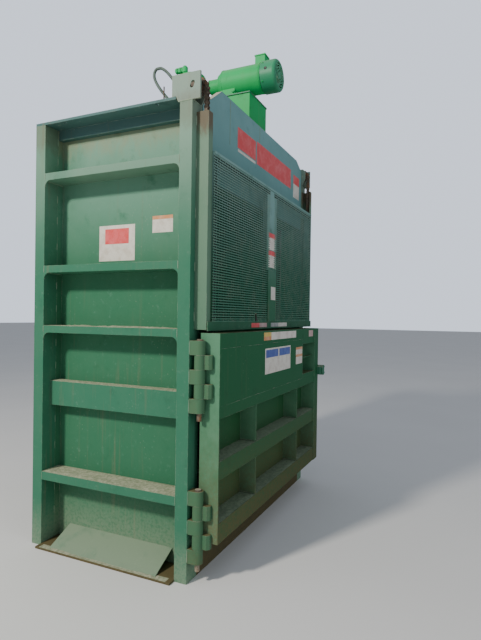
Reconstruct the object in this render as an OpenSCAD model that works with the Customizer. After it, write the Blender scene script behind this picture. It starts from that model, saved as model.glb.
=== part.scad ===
// Vertical recycling baler. Origin: centre of the footprint, on the ground.
// +X runs to the right seen from the front, +Y to the back, +Z up.
// Every "set" or "inset" is measured inwards from the outer plane of the corner posts.

/* [Body] */
// Width over the corner posts
body_w = 1930; // [1500:1:2400]
// Depth over the corner posts
body_d = 1083; // [850:1:1400]
// Height of the front corner posts
post_h = 2500; // [2300:1:2700]
// Section of a corner post along the width
post_x = 103; // [96:1:120]
// Section of a corner post along the depth
post_y = 74; // [73:1:90]
// Wall of a corner post
post_wall = 6; // [4:0.5:6.5]
// Thickness of the base plate
base_t = 12; // [8:1:20]
// How far the base plate sticks out past the posts on each side
base_lip = 45; // [20:1:60]

/* [Side walls] */
// How far the side sheet is set in
skin_set = 145; // [125:1:180]
// Thickness of the side and rear sheets
skin_t = 5; // [4:0.5:10]
// Height of a narrow rib
rib_h = 42; // [30:1:60]
// Thickness of the rib plate
rib_t = 5; // [4:0.5:8]
// Centre heights of the narrow ribs
rib_z = [1298, 1655, 2205]; // [1000:1:2400]
// Centre height of the low rib
low_rib_z = 420; // [300:1:600]
// Height of the low rib
low_rib_h = 49; // [30:1:80]
// Centre height of the wide middle rail
mid_rail_z = 910; // [700:1:1100]
// Height of the wide middle rail
mid_rail_h = 145; // [100:1:200]
// How far the wide middle rail is set in
mid_rail_set = 60; // [30:1:90]
// Radius of the corner fillets under the narrow ribs
fillet_r = 38; // [20:1:60]

/* [Rear wall] */
// How far the rear sheet is set in
rear_set = 60; // [45:1:66]

/* [Toe plates] */
// Length of a toe plate
toe_len = 742; // [500:1:800]
// Top height of a toe plate
toe_h = 96; // [80:1:150]
// How far the foot of the toe plate stands out from the side
toe_out = 26; // [0:1:40]
// Thickness of the toe plate
toe_t = 6; // [4:0.5:8]

/* [Chamber floor] */
// Height of the chamber floor
floor_z = 200; // [150:1:205]
// Thickness of the chamber floor plate
floor_t = 12; // [10:1:25]
// Spacing of the tie grooves across the floor, door and platen
tie_pitch = 270; // [200:1:290]
// Width of a tie groove
tie_w = 30; // [15:1:40]

/* [Roof] */
// Height of the underside of the roof plate above the front posts
roof_rise = 15; // [5:1:30]
// Thickness of the roof plate
roof_t = 15; // [8:1:17]
// Depth of the notch in the roof at each front post
roof_notch = 100; // [90:1:104]
// Height of the headers under the roof
header_h = 60; // [40:1:90]
// Radius of the lashing holes along the sides of the roof
roof_hole_r = 11; // [6:0.5:14]
// Inset of the lashing holes from the sides of the roof
roof_hole_in = 22; // [16:1:40]
// Distances of the lashing holes behind the post face
roof_hole_y = [230, 877]; // [150:1:1000]

/* [Upper front panel] */
// Inset of the upper front panel from each side
panel_in = 110; // [104:1:130]
// Top of the upper front panel above the front posts
panel_rise = 175; // [120:1:220]
// Bottom of the upper front panel below the top of the front posts
panel_drop = 370; // [320:1:420]
// Thickness of the upper front panel
panel_t = 6; // [4:0.5:6]
// Width of the cut at the left and the right top corner
panel_cut_w = [220, 130]; // [60:1:260]
// Height of the cut at the left and the right top corner
panel_cut_h = [163, 60]; // [50:1:170]
// Depth of the folded rim along the top
panel_rim = 30; // [15:1:50]

/* [Gate] */
// Gap between the top of the door and the bottom of the gate
gate_rise = 11; // [6:1:30]
// Height of the gate
gate_h = 942; // [900:1:960]
// Inset of the gate leaf from each side
gate_in = 92; // [91.5:0.5:98]
// Depth of the gate frame
gate_t = 44; // [30:1:50]
// Height of the top and bottom gate rails
gate_rail_h = 49; // [35:1:60]
// Width of the gate side stiles
gate_stile_w = 40; // [30:1:60]
// Left edge of the centre stile, from the left side
mid_stile_x = 854; // [800:1:900]
// Width of the centre stile
mid_stile_w = 173; // [120:1:200]
// Height of the step in the centre stile above the gate bottom
mid_stile_step = 389; // [300:1:450]
// How far the lower part of the centre stile stands forward
mid_stile_proud = 8; // [3:1:12]
// Thickness of the gate mesh
mesh_t = 3; // [2:0.5:5]
// Length of one diamond of the gate mesh
diamond_w = 116; // [60:1:140]
// Height of one diamond of the gate mesh
diamond_h = 74; // [40:1:90]
// Width of the strands between the diamonds
strand_w = 12; // [6:1:20]
// Bottom of the gate guides above the bottom of the gate
guide_rise = 6; // [3:1:20]
// Top of the gate guides below the top of the front posts
guide_drop = 50; // [20:1:120]
// How far the web of a gate guide is set in
guide_set = 45; // [40:1:50]
// Width of the guide flanges
guide_w = 45; // [42:1:46]
// Depth of a gate guide
guide_d = 73; // [70:1:75]
// Wall of a gate guide
guide_wall = 6; // [4:0.5:6]
// How far the gate stands in front of its guides
gate_proud = 9; // [8:0.5:14]

/* [Gate chains] */
// Height of the sheave axle above the front posts
sheave_rise = 78; // [74:1:100]
// Distance of the sheave axle behind the post face
sheave_y = 2; // [0:0.5:5]
// Inset of the chain centre from the side
chain_in = 70; // [68:0.5:72]
// Pitch of the chain
pitch = 25.4; // [24:0.1:25.5]
// Height of a chain plate
link_h = 23; // [18:0.5:23]
// Thickness of a chain plate
link_t = 2.4; // [1.5:0.1:2.5]
// Width of a chain roller
roller_w = 15; // [12:0.5:15]
// Radius of a chain roller
roller_r = 7.9; // [6:0.1:8]
// Radius of a chain pin
chain_pin_r = 3.9; // [3:0.1:4]
// Radius of the sheave axle
axle_r = 10; // [8:0.5:12]
// Thickness of the outer sheave bracket
bracket_t = 12; // [8:0.5:12]
// Height of the sheave brackets above the post top
bracket_h = 140; // [110:1:150]
// Height of the chain's eye above the bottom of the gate, to the nearest even link
eye_rise = 429; // [300:1:600]
// Length of a counterweight
weight_len = 900; // [600:1:1100]

/* [Door] */
// Inset of the door's hinge edge
door_left = 61; // [61:0.5:66]
// Inset of the door's latch edge
door_right = 53; // [40:1:80]
// Bottom of the door
door_low = 210; // [206:1:240]
// Height of the door
door_h = 1090; // [1040:1:1094]
// Gap between the door frame and the post face
door_gap = 34; // [30:1:45]
// Depth of the door frame
door_d = 113; // [90:1:130]
// Thickness of the door plates
door_t = 10; // [6:1:14]
// Height of the top rail of the door
top_rail_h = 80; // [60:1:100]
// Height of the bottom rail of the door
low_rail_h = 105; // [80:1:130]
// Height of the middle rail of the door
mid_door_h = 95; // [70:1:110]
// Bottom of the middle rail above the door bottom
mid_door_z = 330; // [280:1:360]
// Height of the rail under the cover
cover_rail_h = 62; // [40:1:80]
// Bottom of the rail under the cover below the door top
cover_rail_drop = 442; // [400:1:480]
// Distances of the two dividers from the left side
divider_x = [563, 1348]; // [400:1:1400]
// Right end of the cover plate, from the left side
cover_end = 1466; // [1400:1:1500]
// Width of the latch stile of the door
latch_stile_w = 99; // [70:1:120]
// How far the latch stile stands proud
latch_stile_proud = 5; // [2:1:8]
// Depth of the liner that closes the chamber mouth
liner_d = 22; // [12:1:26]
// Inset of the liner from each side
liner_in = 125; // [115:1:140]

/* [Door hinges] */
// Inset of the hinge pin
pin_in = 31; // [30:0.5:31]
// Distance of the hinge pin in front of the post face
pin_front = 46; // [42:1:50]
// Radius of a hinge knuckle
knuckle_r = 29; // [24:0.5:29]
// Radius of a hinge pin
hinge_pin_r = 13; // [9:0.5:15]
// Height of one knuckle with its gap
knuckle_step = 75; // [60:1:76]
// Bottom of the low hinge below the door bottom
low_hinge_drop = 99; // [60:1:105]
// Bottom of the high hinge below the door top
high_hinge_drop = 413; // [390:1:500]
// Length of a hinge arm on the door plate
arm_len = 65; // [50:1:90]
// Thickness of a hinge arm
arm_t = 33; // [20:1:36]

/* [Door latch] */
// Height of the latch bolt below the door top
latch_drop = 355; // [200:1:450]
// Distance of the latch bolt outside the post plane
latch_out = 32; // [26:1:40]
// Radius of the latch bolt
latch_bolt_r = 14; // [10:0.5:15]
// Distance of the latch pivot behind the post face
latch_pivot_y = 50; // [40:1:60]
// Radius of the door's latch boss
latch_boss_r = 42; // [35:1:45]
// Depth of the door's latch boss
latch_boss_d = 44; // [30:1:60]
// Radius of the latch nut
latch_nut_r = 26; // [20:1:30]
// Length of the tee bar on the latch nut
tee_bar_len = 150; // [100:1:160]

/* [Platen and ram] */
// Face of the raised platen below the roof plate
platen_drop = 395; // [390:1:420]
// Thickness of the platen face bars
platen_bar_t = 17; // [14:1:28]
// Thickness of the platen plate
platen_plate_t = 8; // [6:1:14]
// Height of the platen beams
platen_beam_h = 100; // [70:1:130]
// Gap between the platen and the chamber walls
platen_gap = 24; // [18:1:40]
// Distances of the platen's cross ribs from its middle
platen_rib_x = [190, 480]; // [100:1:560]
// Thickness of the wall bars that guide the platen
wall_bar_t = 16; // [8:1:16]
// Width of a wall bar
wall_bar_w = 70; // [50:1:100]
// Distance of the wall bars from the front and from the rear sheet
wall_bar_set = 190; // [120:1:300]
// Distance of the ram centre behind the post face
ram_back = 566.5; // [540:0.5:580]
// Outer radius of the ram barrel
barrel_r = 89; // [80:1:90]
// Bore radius of the ram barrel
bore_r = 76; // [65:1:78]
// Radius of the ram rod
rod_r = 45; // [30:1:55]
// Length of the ram barrel below the roof plate
barrel_below = 300; // [250:1:302]
// Height of the ram barrel above the roof plate
barrel_above = 610; // [560:1:650]
// Thickness of the barrel's end cap
cap_t = 40; // [25:1:60]
// Length of the rod gland
gland_len = 80; // [40:1:85]
// Length of the piston
piston_len = 60; // [40:1:65]
// Side of the square ram flange on the roof
flange_w = 206; // [202:1:210]
// Thickness of the ram flange
flange_t = 25; // [15:1:30]

/* [Power unit] */
// Distance of the tank centre to the right of the middle
tank_x = 88; // [80:1:110]
// Width of the tank
tank_w = 303; // [240:1:320]
// Distance of the tank behind the post face
tank_front = 80; // [60:1:100]
// Depth of the tank
tank_d = 380; // [330:1:384]
// Height of the tank with its lid
tank_h = 400; // [320:1:420]
// Thickness of the tank lid
tank_lid_t = 8; // [5:1:12]
// Height of the motor axis above the tank
motor_rise = 144; // [140:1:160]
// Radius of the motor body
motor_r = 102; // [80:1:103]
// Radius of the fan cover
fan_cover_r = 109; // [106:1:112]
// Front end of the fan cover in front of the post face
fan_cover_front = 80; // [60:1:90]
// Length of the fan cover
fan_cover_len = 110; // [90:1:125]
// Length of the motor body
motor_len = 330; // [250:1:335]
// Radius of the bell housing
bell_r = 58; // [45:1:60]
// Length of the bell housing and pump
bell_len = 100; // [70:1:104]

/* [Ejector] */
// Length of the ejector arms
ejector_len = 790; // [600:1:820]
// Distance of the ejector pivot behind the post face
ejector_front = 75; // [60:1:90]
// Thickness of the ejector bars
ejector_t = 12; // [8:1:16]
// Width of an ejector arm
ejector_w = 60; // [40:1:80]
// Height of the ejector's back lip
ejector_lip = 150; // [80:1:200]
// Width of the bars that join the ejector's arms
ejector_bar_w = 60; // [40:1:80]

/* [Control box] */
// Width of the control box along the depth of the body
control_w = 300; // [220:1:340]
// Height of the control box
control_h = 400; // [300:1:430]
// Depth of the control box out from the side
control_d = 120; // [90:1:160]
// Bottom of the control box
control_z = 1380; // [1350:1:1450]
// Distance of the control box behind the post face
control_y = 30; // [20:1:60]
// Thickness of the control lid
lid_t = 18; // [12:1:24]
// Radius of the start button
start_r = 15; // [11:0.5:18]
// Radius of the stop button
stop_r = 22; // [18:0.5:26]

/* [Hidden] */

// Running clearance of a pin in its hole, and of a sliding face beside its guide
run_gap = 0.08;
slide_gap = 0.4;

// Planes of the body
half_w = body_w / 2;
front_y = -body_d / 2;
back_y = body_d / 2;
door_high = door_low + door_h;
roof_z = post_h + roof_rise;
roof_top = roof_z + roof_t;
panel_top = post_h + panel_rise;
panel_low = post_h - panel_drop;
skin_in = skin_set + skin_t;
rear_face = back_y - rear_set - skin_t;
rear_post_h = roof_z;
floor_low = floor_z - floor_t;

// Gate: its middle plane, its top and the guide's inner faces
guide_back = front_y;
guide_front = guide_back - guide_d;
guide_in = guide_set + guide_w;
gate_front = guide_front - gate_proud;
gate_back = gate_front + gate_t;
gate_low = door_high + gate_rise;
gate_high = gate_low + gate_h;
guide_low = gate_low + guide_rise;
guide_high = post_h - guide_drop;
gate_left = -half_w + gate_in;
gate_right = half_w - gate_in;
stile_left = -half_w + mid_stile_x;
stile_right = stile_left + mid_stile_w;
mesh_front = gate_front + 2;
shoe_h = 62;
hook_x = stile_left - 179;
hook_z = gate_low + gate_rail_h + 37;
hook_pin_r = 5;

// Chain: twelve links go once round the sheave, half of them lie on it
links_round = 12;
chain_r = pitch / (2 * sin(180 / links_round));
axle_y = front_y + sheave_y;
sheave_z = post_h + sheave_rise;
run_links = 2 * round((sheave_z - gate_low - eye_rise) / (2 * pitch) - 0.5) + 1;
run_end_z = sheave_z - run_links * pitch;
shoe_top = run_end_z - link_h / 2 - 0.3;
weight_links = 7;
weight_eye_z = sheave_z - weight_links * pitch;
weight_top = weight_eye_z - link_h / 2 - 4;
link_in = roller_w / 2 + 0.1;
link_out = link_in + link_t + 0.1;
chain_half_w = link_out + link_t + 1.2;
bracket_back_t = 8;
bracket_gap = 80;
hub_w = 30;

// Door
door_lx = -half_w + door_left;
door_rx = half_w - door_right;
door_back = front_y - door_gap;
door_front = door_back - door_d;
cover_rail_z = door_h - cover_rail_drop;
stile_x = door_rx - latch_stile_w;

// Hinges
pin_x = -half_w + pin_in;
pin_y = front_y - pin_front;
hinge_z = [door_low - low_hinge_drop, door_high - high_hinge_drop];
knuckle_gap = 0.5;
knuckles = 5;

// Latch
latch_x = half_w + latch_out;
latch_y = front_y + latch_pivot_y;
latch_z = door_high - latch_drop;
boss_front = door_front - latch_boss_d;
latch_reach = latch_y - boss_front;
nut_len = 36;

// Platen and ram: the stroke is what the bore leaves beside piston and gland
ram_y = front_y + ram_back;
platen_z = roof_z - platen_drop;
barrel_low = roof_z - barrel_below;
barrel_high = roof_top + barrel_above;
platen_lx = -half_w + skin_in + platen_gap;
platen_front = front_y + panel_t + panel_rim + 12;
platen_back = rear_face - platen_gap;
rod_base = platen_z + platen_bar_t + platen_plate_t;
piston_top = barrel_high - cap_t - 2;
rod_foot_r = 72;
rod_foot_t = 22;

// Power unit
tank_y = front_y + tank_front;
tank_back = tank_y + tank_d;
tank_top = roof_top + tank_h;
motor_z = tank_top + motor_rise;
lid_rail_x = 70;
lid_rail_y = [110, 300];
motor_foot_x = 58;
motor_foot_y = [150, 260];
motor_front = front_y - fan_cover_front + fan_cover_len;
motor_back = motor_front + motor_len;
bell_back = motor_back + bell_len;
shaft_r = 12;
valve_x = 185;
valve_w = 100;
valve_h = 110;
valve_d = 84;
valve_top = roof_top + valve_h;
valve_nut_h = 40;
valve_end_z = valve_top + valve_nut_h;
port_drop = 37;

// Hydraulic hose: its route from the ram's upper port to the valve block, from the ram's axis
// and from the top of the block's fitting
hose_r = 11;
hose_sides = 10;
hose_rise = 423;
hose_path = [
  [-15, 133, 423], [-15, 145, 446], [-15, 161, 469], [-15, 181, 494], [-15, 205, 522],
  [-15, 235, 551], [-15, 270, 573], [-15, 303, 576], [-15, 325, 555], [-15, 329, 520],
  [-14, 315, 480], [-12, 293, 442], [-8, 265, 402], [0, 235, 364], [14, 207, 328],
  [36, 185, 288], [66, 167, 244], [98, 145, 198], [128, 117, 154], [154, 81, 114],
  [172, 43, 80], [182, 7, 54], [valve_x, -17, 34], [valve_x, -25, 18], [valve_x, -25, 0]
];
hose_route = [for (p = hose_path) [
  p[0], ram_y + p[1], valve_end_z + p[2] * (barrel_high - port_drop - valve_end_z) / hose_rise
]];

// Ejector
ejector_y = front_y + ejector_front;
ejector_tube_r = 15;
ejector_pin_r = 9;
ejector_z = floor_z + 0.4 + ejector_tube_r;
ejector_arm_x = tie_pitch / 2;
lug_t = 8;

// Control box
control_x = half_w;
control_y0 = front_y + control_y;
lid_x = control_x + control_d + slide_gap;
lid_front = lid_x + lid_t;
lid_pin_r = 3;
lid_knuckle_r = 6;
lid_knuckle_h = 30;
lid_axis_y = control_y0 + control_w + 11;
lid_hinge_z = [control_z + 50, control_z + control_h - 50];
button_z = control_z + control_h - 90;
start_y = control_y0 + control_w * 0.30;
stop_y = control_y0 + control_w * 0.64;
mode_z = control_z + control_h - 190;

// Colours
green = "#1f5a43";
dusty_green = "#5f8a70";
bright_green = "#3fae5c";
rust = "#5a4438";
black = "#202224";
steel = "#9a9c9e";

// A block between two corners
module box(low, high) { translate(low) cube(high - low); }

// Draws what is made for the right side on the side asked for
module on_side(side) { mirror([side < 0 ? 1 : 0, 0, 0]) children(); }

// A plane that lies this far inside the outer plane of the right side
function inset(d) = half_w - d;

// A cylinder along X or Y that starts at the point given
module bar_x(at, r, len) { translate(at) rotate([0, 90, 0]) cylinder(r = r, h = len, $fn = 48); }
module bar_y(at, r, len) { translate(at) rotate([-90, 0, 0]) cylinder(r = r, h = len, $fn = 64); }

// Base plate between the posts, with the lip that shows on each side
module base_plate() {
  color(green) {
    box([-half_w - base_lip, front_y + post_y, 0], [half_w + base_lip, back_y - post_y, base_t]);
    box([-inset(post_x), front_y, 0], [inset(post_x), front_y + post_y, base_t]);
  }
}

// Chamber floor with its front and rear skirts, stringers, tie grooves and ejector lugs
module chamber_floor() {
  floor_x = inset(skin_in);
  groove = 8;
  color(green) difference() {
    union() {
      box([-floor_x, front_y, floor_low], [floor_x, rear_face, floor_z]);
      box([-inset(post_x), front_y, base_t], [inset(post_x), front_y + 8, floor_z]);
      box([-floor_x, rear_face - 8, base_t], [floor_x, rear_face, floor_low]);
      for (i = [-1.5:1:1.5])
        box([i * tie_pitch * 1.4 - 5, front_y + 8, base_t],
            [i * tie_pitch * 1.4 + 5, rear_face - 8, floor_low]);
      for (s = [-1, 1], t = [-1, 1])
        translate([s * ejector_arm_x + t * (ejector_w / 2 + 1 + lug_t / 2), 0, 0]) ejector_lug();
    }
    for (i = [-2:2])
      box([i * tie_pitch - tie_w / 2, front_y - 1, floor_z - groove],
          [i * tie_pitch + tie_w / 2, rear_face + 1, floor_z + 1]);
  }
}

// One lug that carries an end of the ejector pivot
module ejector_lug() {
  translate([-lug_t / 2, ejector_y, 0]) rotate([90, 0, 90]) linear_extrude(lug_t) difference() {
    union() {
      translate([0, ejector_z]) circle(r = ejector_tube_r + 4, $fn = 48);
      translate([-ejector_tube_r - 4, floor_z - 1]) square([2 * (ejector_tube_r + 4), 16]);
    }
    translate([0, ejector_z]) circle(r = ejector_pin_r + run_gap, $fn = 48);
  }
}

// Hollow corner post; the front ones are capped, with a slot for the chain
module corner_post(y0, height, capped) {
  color(dusty_green) difference() {
    box([inset(post_x), y0, 0], [inset(0), y0 + post_y, height]);
    box([inset(post_x - post_wall), y0 + post_wall, -1],
        [inset(post_wall), y0 + post_y - post_wall, capped ? height - post_wall : height + 1]);
    if (capped)
      box([inset(chain_in + chain_half_w + 3), axle_y + chain_r - link_h / 2 - 3, height - post_wall - 1],
          [inset(chain_in - chain_half_w - 3), y0 + post_y - post_wall, height + 1]);
  }
}

// Folded side sheet with a return to the post at each end
module side_sheet() {
  y0 = front_y + post_y;
  y1 = back_y - post_y;
  color(green) {
    box([inset(skin_in), y0 - skin_t, base_t], [inset(skin_set), rear_face, roof_z]);
    box([inset(skin_set), y0 - skin_t, base_t], [inset(post_x), y0, roof_z]);
    box([inset(skin_set), y1, base_t], [inset(post_x), y1 + skin_t, roof_z]);
  }
}

// One folded channel rib, open towards the sheet it stiffens
module channel_rib(x_in, x_out, y0, y1, z_mid, height) {
  difference() {
    box([x_in, y0, z_mid - height / 2], [x_out, y1, z_mid + height / 2]);
    box([x_in - 1, y0 - 1, z_mid - height / 2 + rib_t], [x_out - rib_t, y1 + 1, z_mid + height / 2 - rib_t]);
  }
}

// Concave corner fillet in the outer plane, under a rib and beside a post
module corner_fillet(y_post, z_rib, to_back) {
  translate([inset(8), y_post, z_rib]) rotate([90, 0, 90]) linear_extrude(8)
    mirror([to_back ? 0 : 1, 0]) difference() {
      translate([0, -fillet_r]) square(fillet_r);
      translate([fillet_r, -fillet_r]) circle(r = fillet_r, $fn = 64);
    }
}

// Ribs of one side wall, with the wide rail that is set in
module side_ribs() {
  y0 = front_y + post_y;
  y1 = back_y - post_y;
  color(dusty_green) {
    for (z = rib_z) {
      channel_rib(inset(skin_set), inset(0), y0, y1, z, rib_h);
      corner_fillet(y0, z - rib_h / 2, true);
      corner_fillet(y1, z - rib_h / 2, false);
    }
    channel_rib(inset(skin_set), inset(0), y0, y1, low_rib_z, low_rib_h);
    channel_rib(inset(skin_set), inset(mid_rail_set), y0, y1, mid_rail_z, mid_rail_h);
  }
}

// Sloped toe plate from the base plate's lip up to the side sheet
module toe_plate() {
  x0 = inset(-toe_out);
  x1 = inset(skin_set);
  thick = toe_t * norm([toe_h - base_t, x0 - x1]) / (x0 - x1);
  color(dusty_green) translate([0, toe_len / 2 + 6, 0]) rotate([90, 0, 0]) linear_extrude(toe_len)
    polygon([[x0, base_t], [x1, toe_h], [x1, toe_h - thick], [x0 - 2 * toe_t, base_t]]);
}

// Rear sheet between the posts
module rear_sheet() {
  color(green) box([-inset(post_x), rear_face, base_t], [inset(post_x), rear_face + skin_t, roof_z]);
}

// Ribs of the rear wall, at the heights of the side ribs
module rear_ribs() {
  color(dusty_green) rotate([0, 0, 90]) {
    x0 = rear_face + skin_t;
    y0 = -inset(post_x);
    y1 = inset(post_x);
    for (z = rib_z) channel_rib(x0, back_y, y0, y1, z, rib_h);
    channel_rib(x0, back_y, y0, y1, low_rib_z, low_rib_h);
    channel_rib(x0, back_y - rear_set / 3, y0, y1, mid_rail_z, mid_rail_h);
  }
}

// Roof plate with a header beside each side sheet, notched for the sheaves and bored for the ram
module roof_plate() {
  color(green) for (s = [-1, 1]) on_side(s)
    box([inset(skin_set), front_y + post_y, roof_z - header_h],
        [inset(post_x + 6), back_y - post_y, roof_z + 1]);
  color(green) difference() {
    box([-half_w, front_y + panel_t, roof_z], [half_w, back_y, roof_top]);
    for (s = [-1, 1]) on_side(s)
      box([inset(panel_in), front_y, roof_z - 1], [half_w + 1, front_y + roof_notch, roof_top + 1]);
    translate([0, ram_y, roof_z - 1]) cylinder(r = barrel_r, h = roof_t + 2, $fn = 96);
    for (s = [-1, 1], y = roof_hole_y) on_side(s)
      translate([inset(roof_hole_in), front_y + y, roof_z - 1]) cylinder(r = roof_hole_r, h = roof_t + 2, $fn = 32);
  }
}

// Upper front panel with cut corners and a rim folded back along its top
module upper_front_panel() {
  x = inset(panel_in);
  low = panel_low;
  top = panel_top;
  w = panel_cut_w;
  h = panel_cut_h;
  t = panel_t;
  edge = [[-x, top - h[0]], [-x + w[0], top], [x - w[1], top], [x, top - h[1]]];
  color(green) {
    translate([0, front_y + panel_t, 0]) rotate([90, 0, 0]) linear_extrude(panel_t)
      polygon(concat([[-x, low]], edge, [[x, low]]));
    translate([0, front_y + panel_t + panel_rim, 0]) rotate([90, 0, 0]) linear_extrude(panel_rim)
      difference() {
        polygon(edge);
        polygon([[-x - t, top - h[0] - 2 * t], [-x + w[0] + 2, top - t],
                 [x - w[1] - 2, top - t], [x + t, top - h[1] - 2 * t]]);
        translate([-x - 1, low]) square([2 * x + 2, roof_top - low]);
      }
  }
}

// Flat bars on the chamber walls that the platen runs between
module wall_bars() {
  half = wall_bar_w / 2;
  color(steel) for (s = [-1, 1], y = [front_y + wall_bar_set, rear_face - wall_bar_set]) on_side(s)
    box([inset(skin_in + wall_bar_t), y - half, floor_z], [inset(skin_in), y + half, roof_z]);
}

// Channel on the post face that guides one edge of the gate
module gate_guide() {
  color(dusty_green) difference() {
    box([inset(guide_in), guide_front, guide_low], [inset(guide_set), guide_back, guide_high]);
    box([inset(guide_in + 1), guide_front + guide_wall, guide_low - 1],
        [inset(guide_set + guide_wall), guide_back - guide_wall, guide_high + 1]);
  }
}

// Outer and inner plates that hold a sheave, with the axle between them
module sheave_bracket() {
  y0 = front_y - 45;
  y1 = front_y + 124;
  z1 = post_h + bracket_h;
  spacer_out = chain_in - bracket_t - hub_w / 2 - 0.5;
  spacer_in = bracket_gap - spacer_out - hub_w - 1;
  foot = front_y + roof_notch;
  x_inner = inset(bracket_t + bracket_gap + bracket_back_t);
  color(dusty_green) {
    translate([inset(bracket_t), 0, 0]) rotate([90, 0, 90]) linear_extrude(bracket_t) difference() {
      polygon([[y0, post_h], [front_y + 86, post_h], [foot, roof_top], [y1, roof_top], [y1, z1], [y0, z1]]);
      hull() for (d = [-1, 1]) translate([axle_y + d * 3, sheave_z - d * 8]) circle(r = 11, $fn = 32);
    }
    translate([x_inner, 0, 0]) rotate([90, 0, 90]) linear_extrude(bracket_back_t)
      polygon([[y0 + 14, sheave_z - 20], [front_y, post_h], [front_y + post_y, post_h], [foot, roof_top],
               [y1, roof_top], [y1, z1 - 20], [y1 - 20, z1], [y0 + 34, z1], [y0 + 14, z1 - 20]]);
  }
  color(steel) {
    bar_x([x_inner - 10, axle_y, sheave_z], axle_r, bracket_gap + bracket_back_t + bracket_t + 8);
    bar_x([x_inner + bracket_back_t - 1, axle_y, sheave_z], 16, spacer_in + 1);
    bar_x([inset(bracket_t + spacer_out), axle_y, sheave_z], 16, spacer_out + 1);
  }
}

// Plain chain wheel with a rim, a web with holes and a hub
module sheave() {
  rim_r = chain_r - roller_r - 0.35;
  rim_w = roller_w - 1;
  color(rust) translate([inset(chain_in), axle_y, sheave_z]) rotate([0, 90, 0]) difference() {
    union() {
      difference() {
        cylinder(r = rim_r, h = rim_w, center = true, $fn = 96);
        for (s = [-1, 1]) translate([0, 0, s * (rim_w / 2 + 0.5)])
          cylinder(r = rim_r - 7, h = 6, center = true, $fn = 96);
      }
      cylinder(r = 17, h = hub_w, center = true, $fn = 64);
    }
    cylinder(r = axle_r + run_gap, h = 80, center = true, $fn = 64);
    for (a = [0:72:288]) rotate([0, 0, a]) translate([25.5, 0, 0])
      cylinder(r = 5, h = 40, center = true, $fn = 32);
  }
}

// Both plates of one link, standing on X, with its pins along X
module link_plates(outer) {
  off = outer ? link_out : link_in;
  for (s = [0, 1]) mirror([s, 0, 0]) translate([off, 0, 0]) rotate([90, 0, 90])
    linear_extrude(link_t) link_outline();
}

// Outline of one chain plate, hanging down from its first pin centre
module link_outline() {
  waist = link_h * 0.72;
  for (z = [0, -pitch]) translate([0, z]) circle(r = link_h / 2, $fn = 32);
  translate([-waist / 2, -pitch]) square([waist, pitch]);
}

// Pin and roller at one joint of the chain; the roller reaches this far into the plates
module chain_joint(with_roller, reach = 0.2) {
  bar_x([-chain_half_w, 0, 0], chain_pin_r, 2 * chain_half_w);
  if (with_roller) bar_x([-roller_w / 2 - reach, 0, 0], roller_r, roller_w + 2 * reach);
}

// Straight chain hanging down from a pin that belongs to the next piece of chain
module chain_run(links, first_outer, last_roller) {
  difference() {
    union() {
      for (i = [0:links - 1]) translate([0, 0, -i * pitch])
        link_plates((i % 2 == 0) == first_outer);
      for (i = [1:links]) translate([0, 0, -i * pitch]) chain_joint(i < links || last_roller);
    }
    bar_x([-chain_half_w - 1, 0, 0], chain_pin_r + 0.3, 2 * chain_half_w + 2);
  }
}

// Half turn of chain that lies on the sheave
module chain_wrap() {
  step = 360 / links_round;
  color(rust) translate([inset(chain_in), axle_y, sheave_z])
    for (i = [0:links_round / 2]) rotate([-i * step, 0, 0]) translate([0, -chain_r, 0]) {
      chain_joint(true, i < links_round / 2 ? 0.2 : 0);
      if (i < links_round / 2) rotate([-step / 2, 0, 0]) translate([0, 0, pitch]) link_plates(i % 2 == 1);
    }
}

// Chain from the sheave down to the gate
module gate_chain() {
  color(rust) translate([inset(chain_in), axle_y - chain_r, sheave_z]) chain_run(run_links, true, false);
}

// Counterweight with its eye and the chain from the sheave down to it
module counterweight() {
  x0 = inset(post_x - post_wall - 4);
  x1 = inset(post_wall + 4);
  y0 = front_y + post_wall + 4;
  y1 = front_y + post_y - post_wall - 3;
  chain_y = axle_y + chain_r;
  color(rust) {
    translate([inset(chain_in), chain_y, sheave_z]) chain_run(weight_links, false, true);
    box([x0, y0, weight_top - weight_len], [x1, y1, weight_top]);
    translate([inset(chain_in), 0, 0])
      box([-link_out, chain_y - 8, weight_top - 1], [link_out, chain_y + 8, weight_eye_z - roller_r + 1]);
  }
}

// Gate frame: rails, stiles and the shoes that run in the guides
module gate_frame() {
  t = 6;
  color(green) {
    gate_rail(gate_low);
    gate_rail(gate_high - gate_rail_h);
    hook_stud();
    box([-inset(guide_set), gate_front, gate_low], [inset(guide_set), gate_front + 5, gate_low + gate_rail_h]);
    for (s = [-1, 1]) on_side(s) {
      box([inset(gate_in + gate_stile_w), gate_front, gate_low + gate_rail_h - 1],
          [inset(gate_in), gate_back, gate_high - gate_rail_h + 1]);
      gate_shoe(gate_low + 12, false);
      gate_shoe(shoe_top - shoe_h, true);
    }
    box([stile_left, gate_front - 1, gate_low + mid_stile_step],
        [stile_right, mesh_front, gate_high - gate_rail_h + 1]);
    box([stile_left + 12, gate_front - mid_stile_proud, gate_low + gate_rail_h - 1],
        [stile_right - 17, mesh_front, gate_low + mid_stile_step + 1]);
    box([stile_right - 30, gate_front - 5, gate_low + mid_stile_step], [stile_right - 24, gate_front, gate_high - 60]);
    box([gate_left, gate_front - 6, gate_high - 13], [gate_right, gate_front + 1, gate_high]);
    for (x = [stile_left + 30, stile_right - 70])
      box([x, mesh_front + mesh_t, gate_low + 20], [x + 40, gate_back, gate_high - 20]);
  }
}

// One rail of the gate: a rectangular tube
module gate_rail(z0) {
  wall = 4;
  difference() {
    box([gate_left, gate_front, z0], [gate_right, gate_back, z0 + gate_rail_h]);
    box([gate_left + wall, gate_front + wall, z0 + wall], [gate_right - wall, gate_back - wall, z0 + gate_rail_h - wall]);
  }
}

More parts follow.
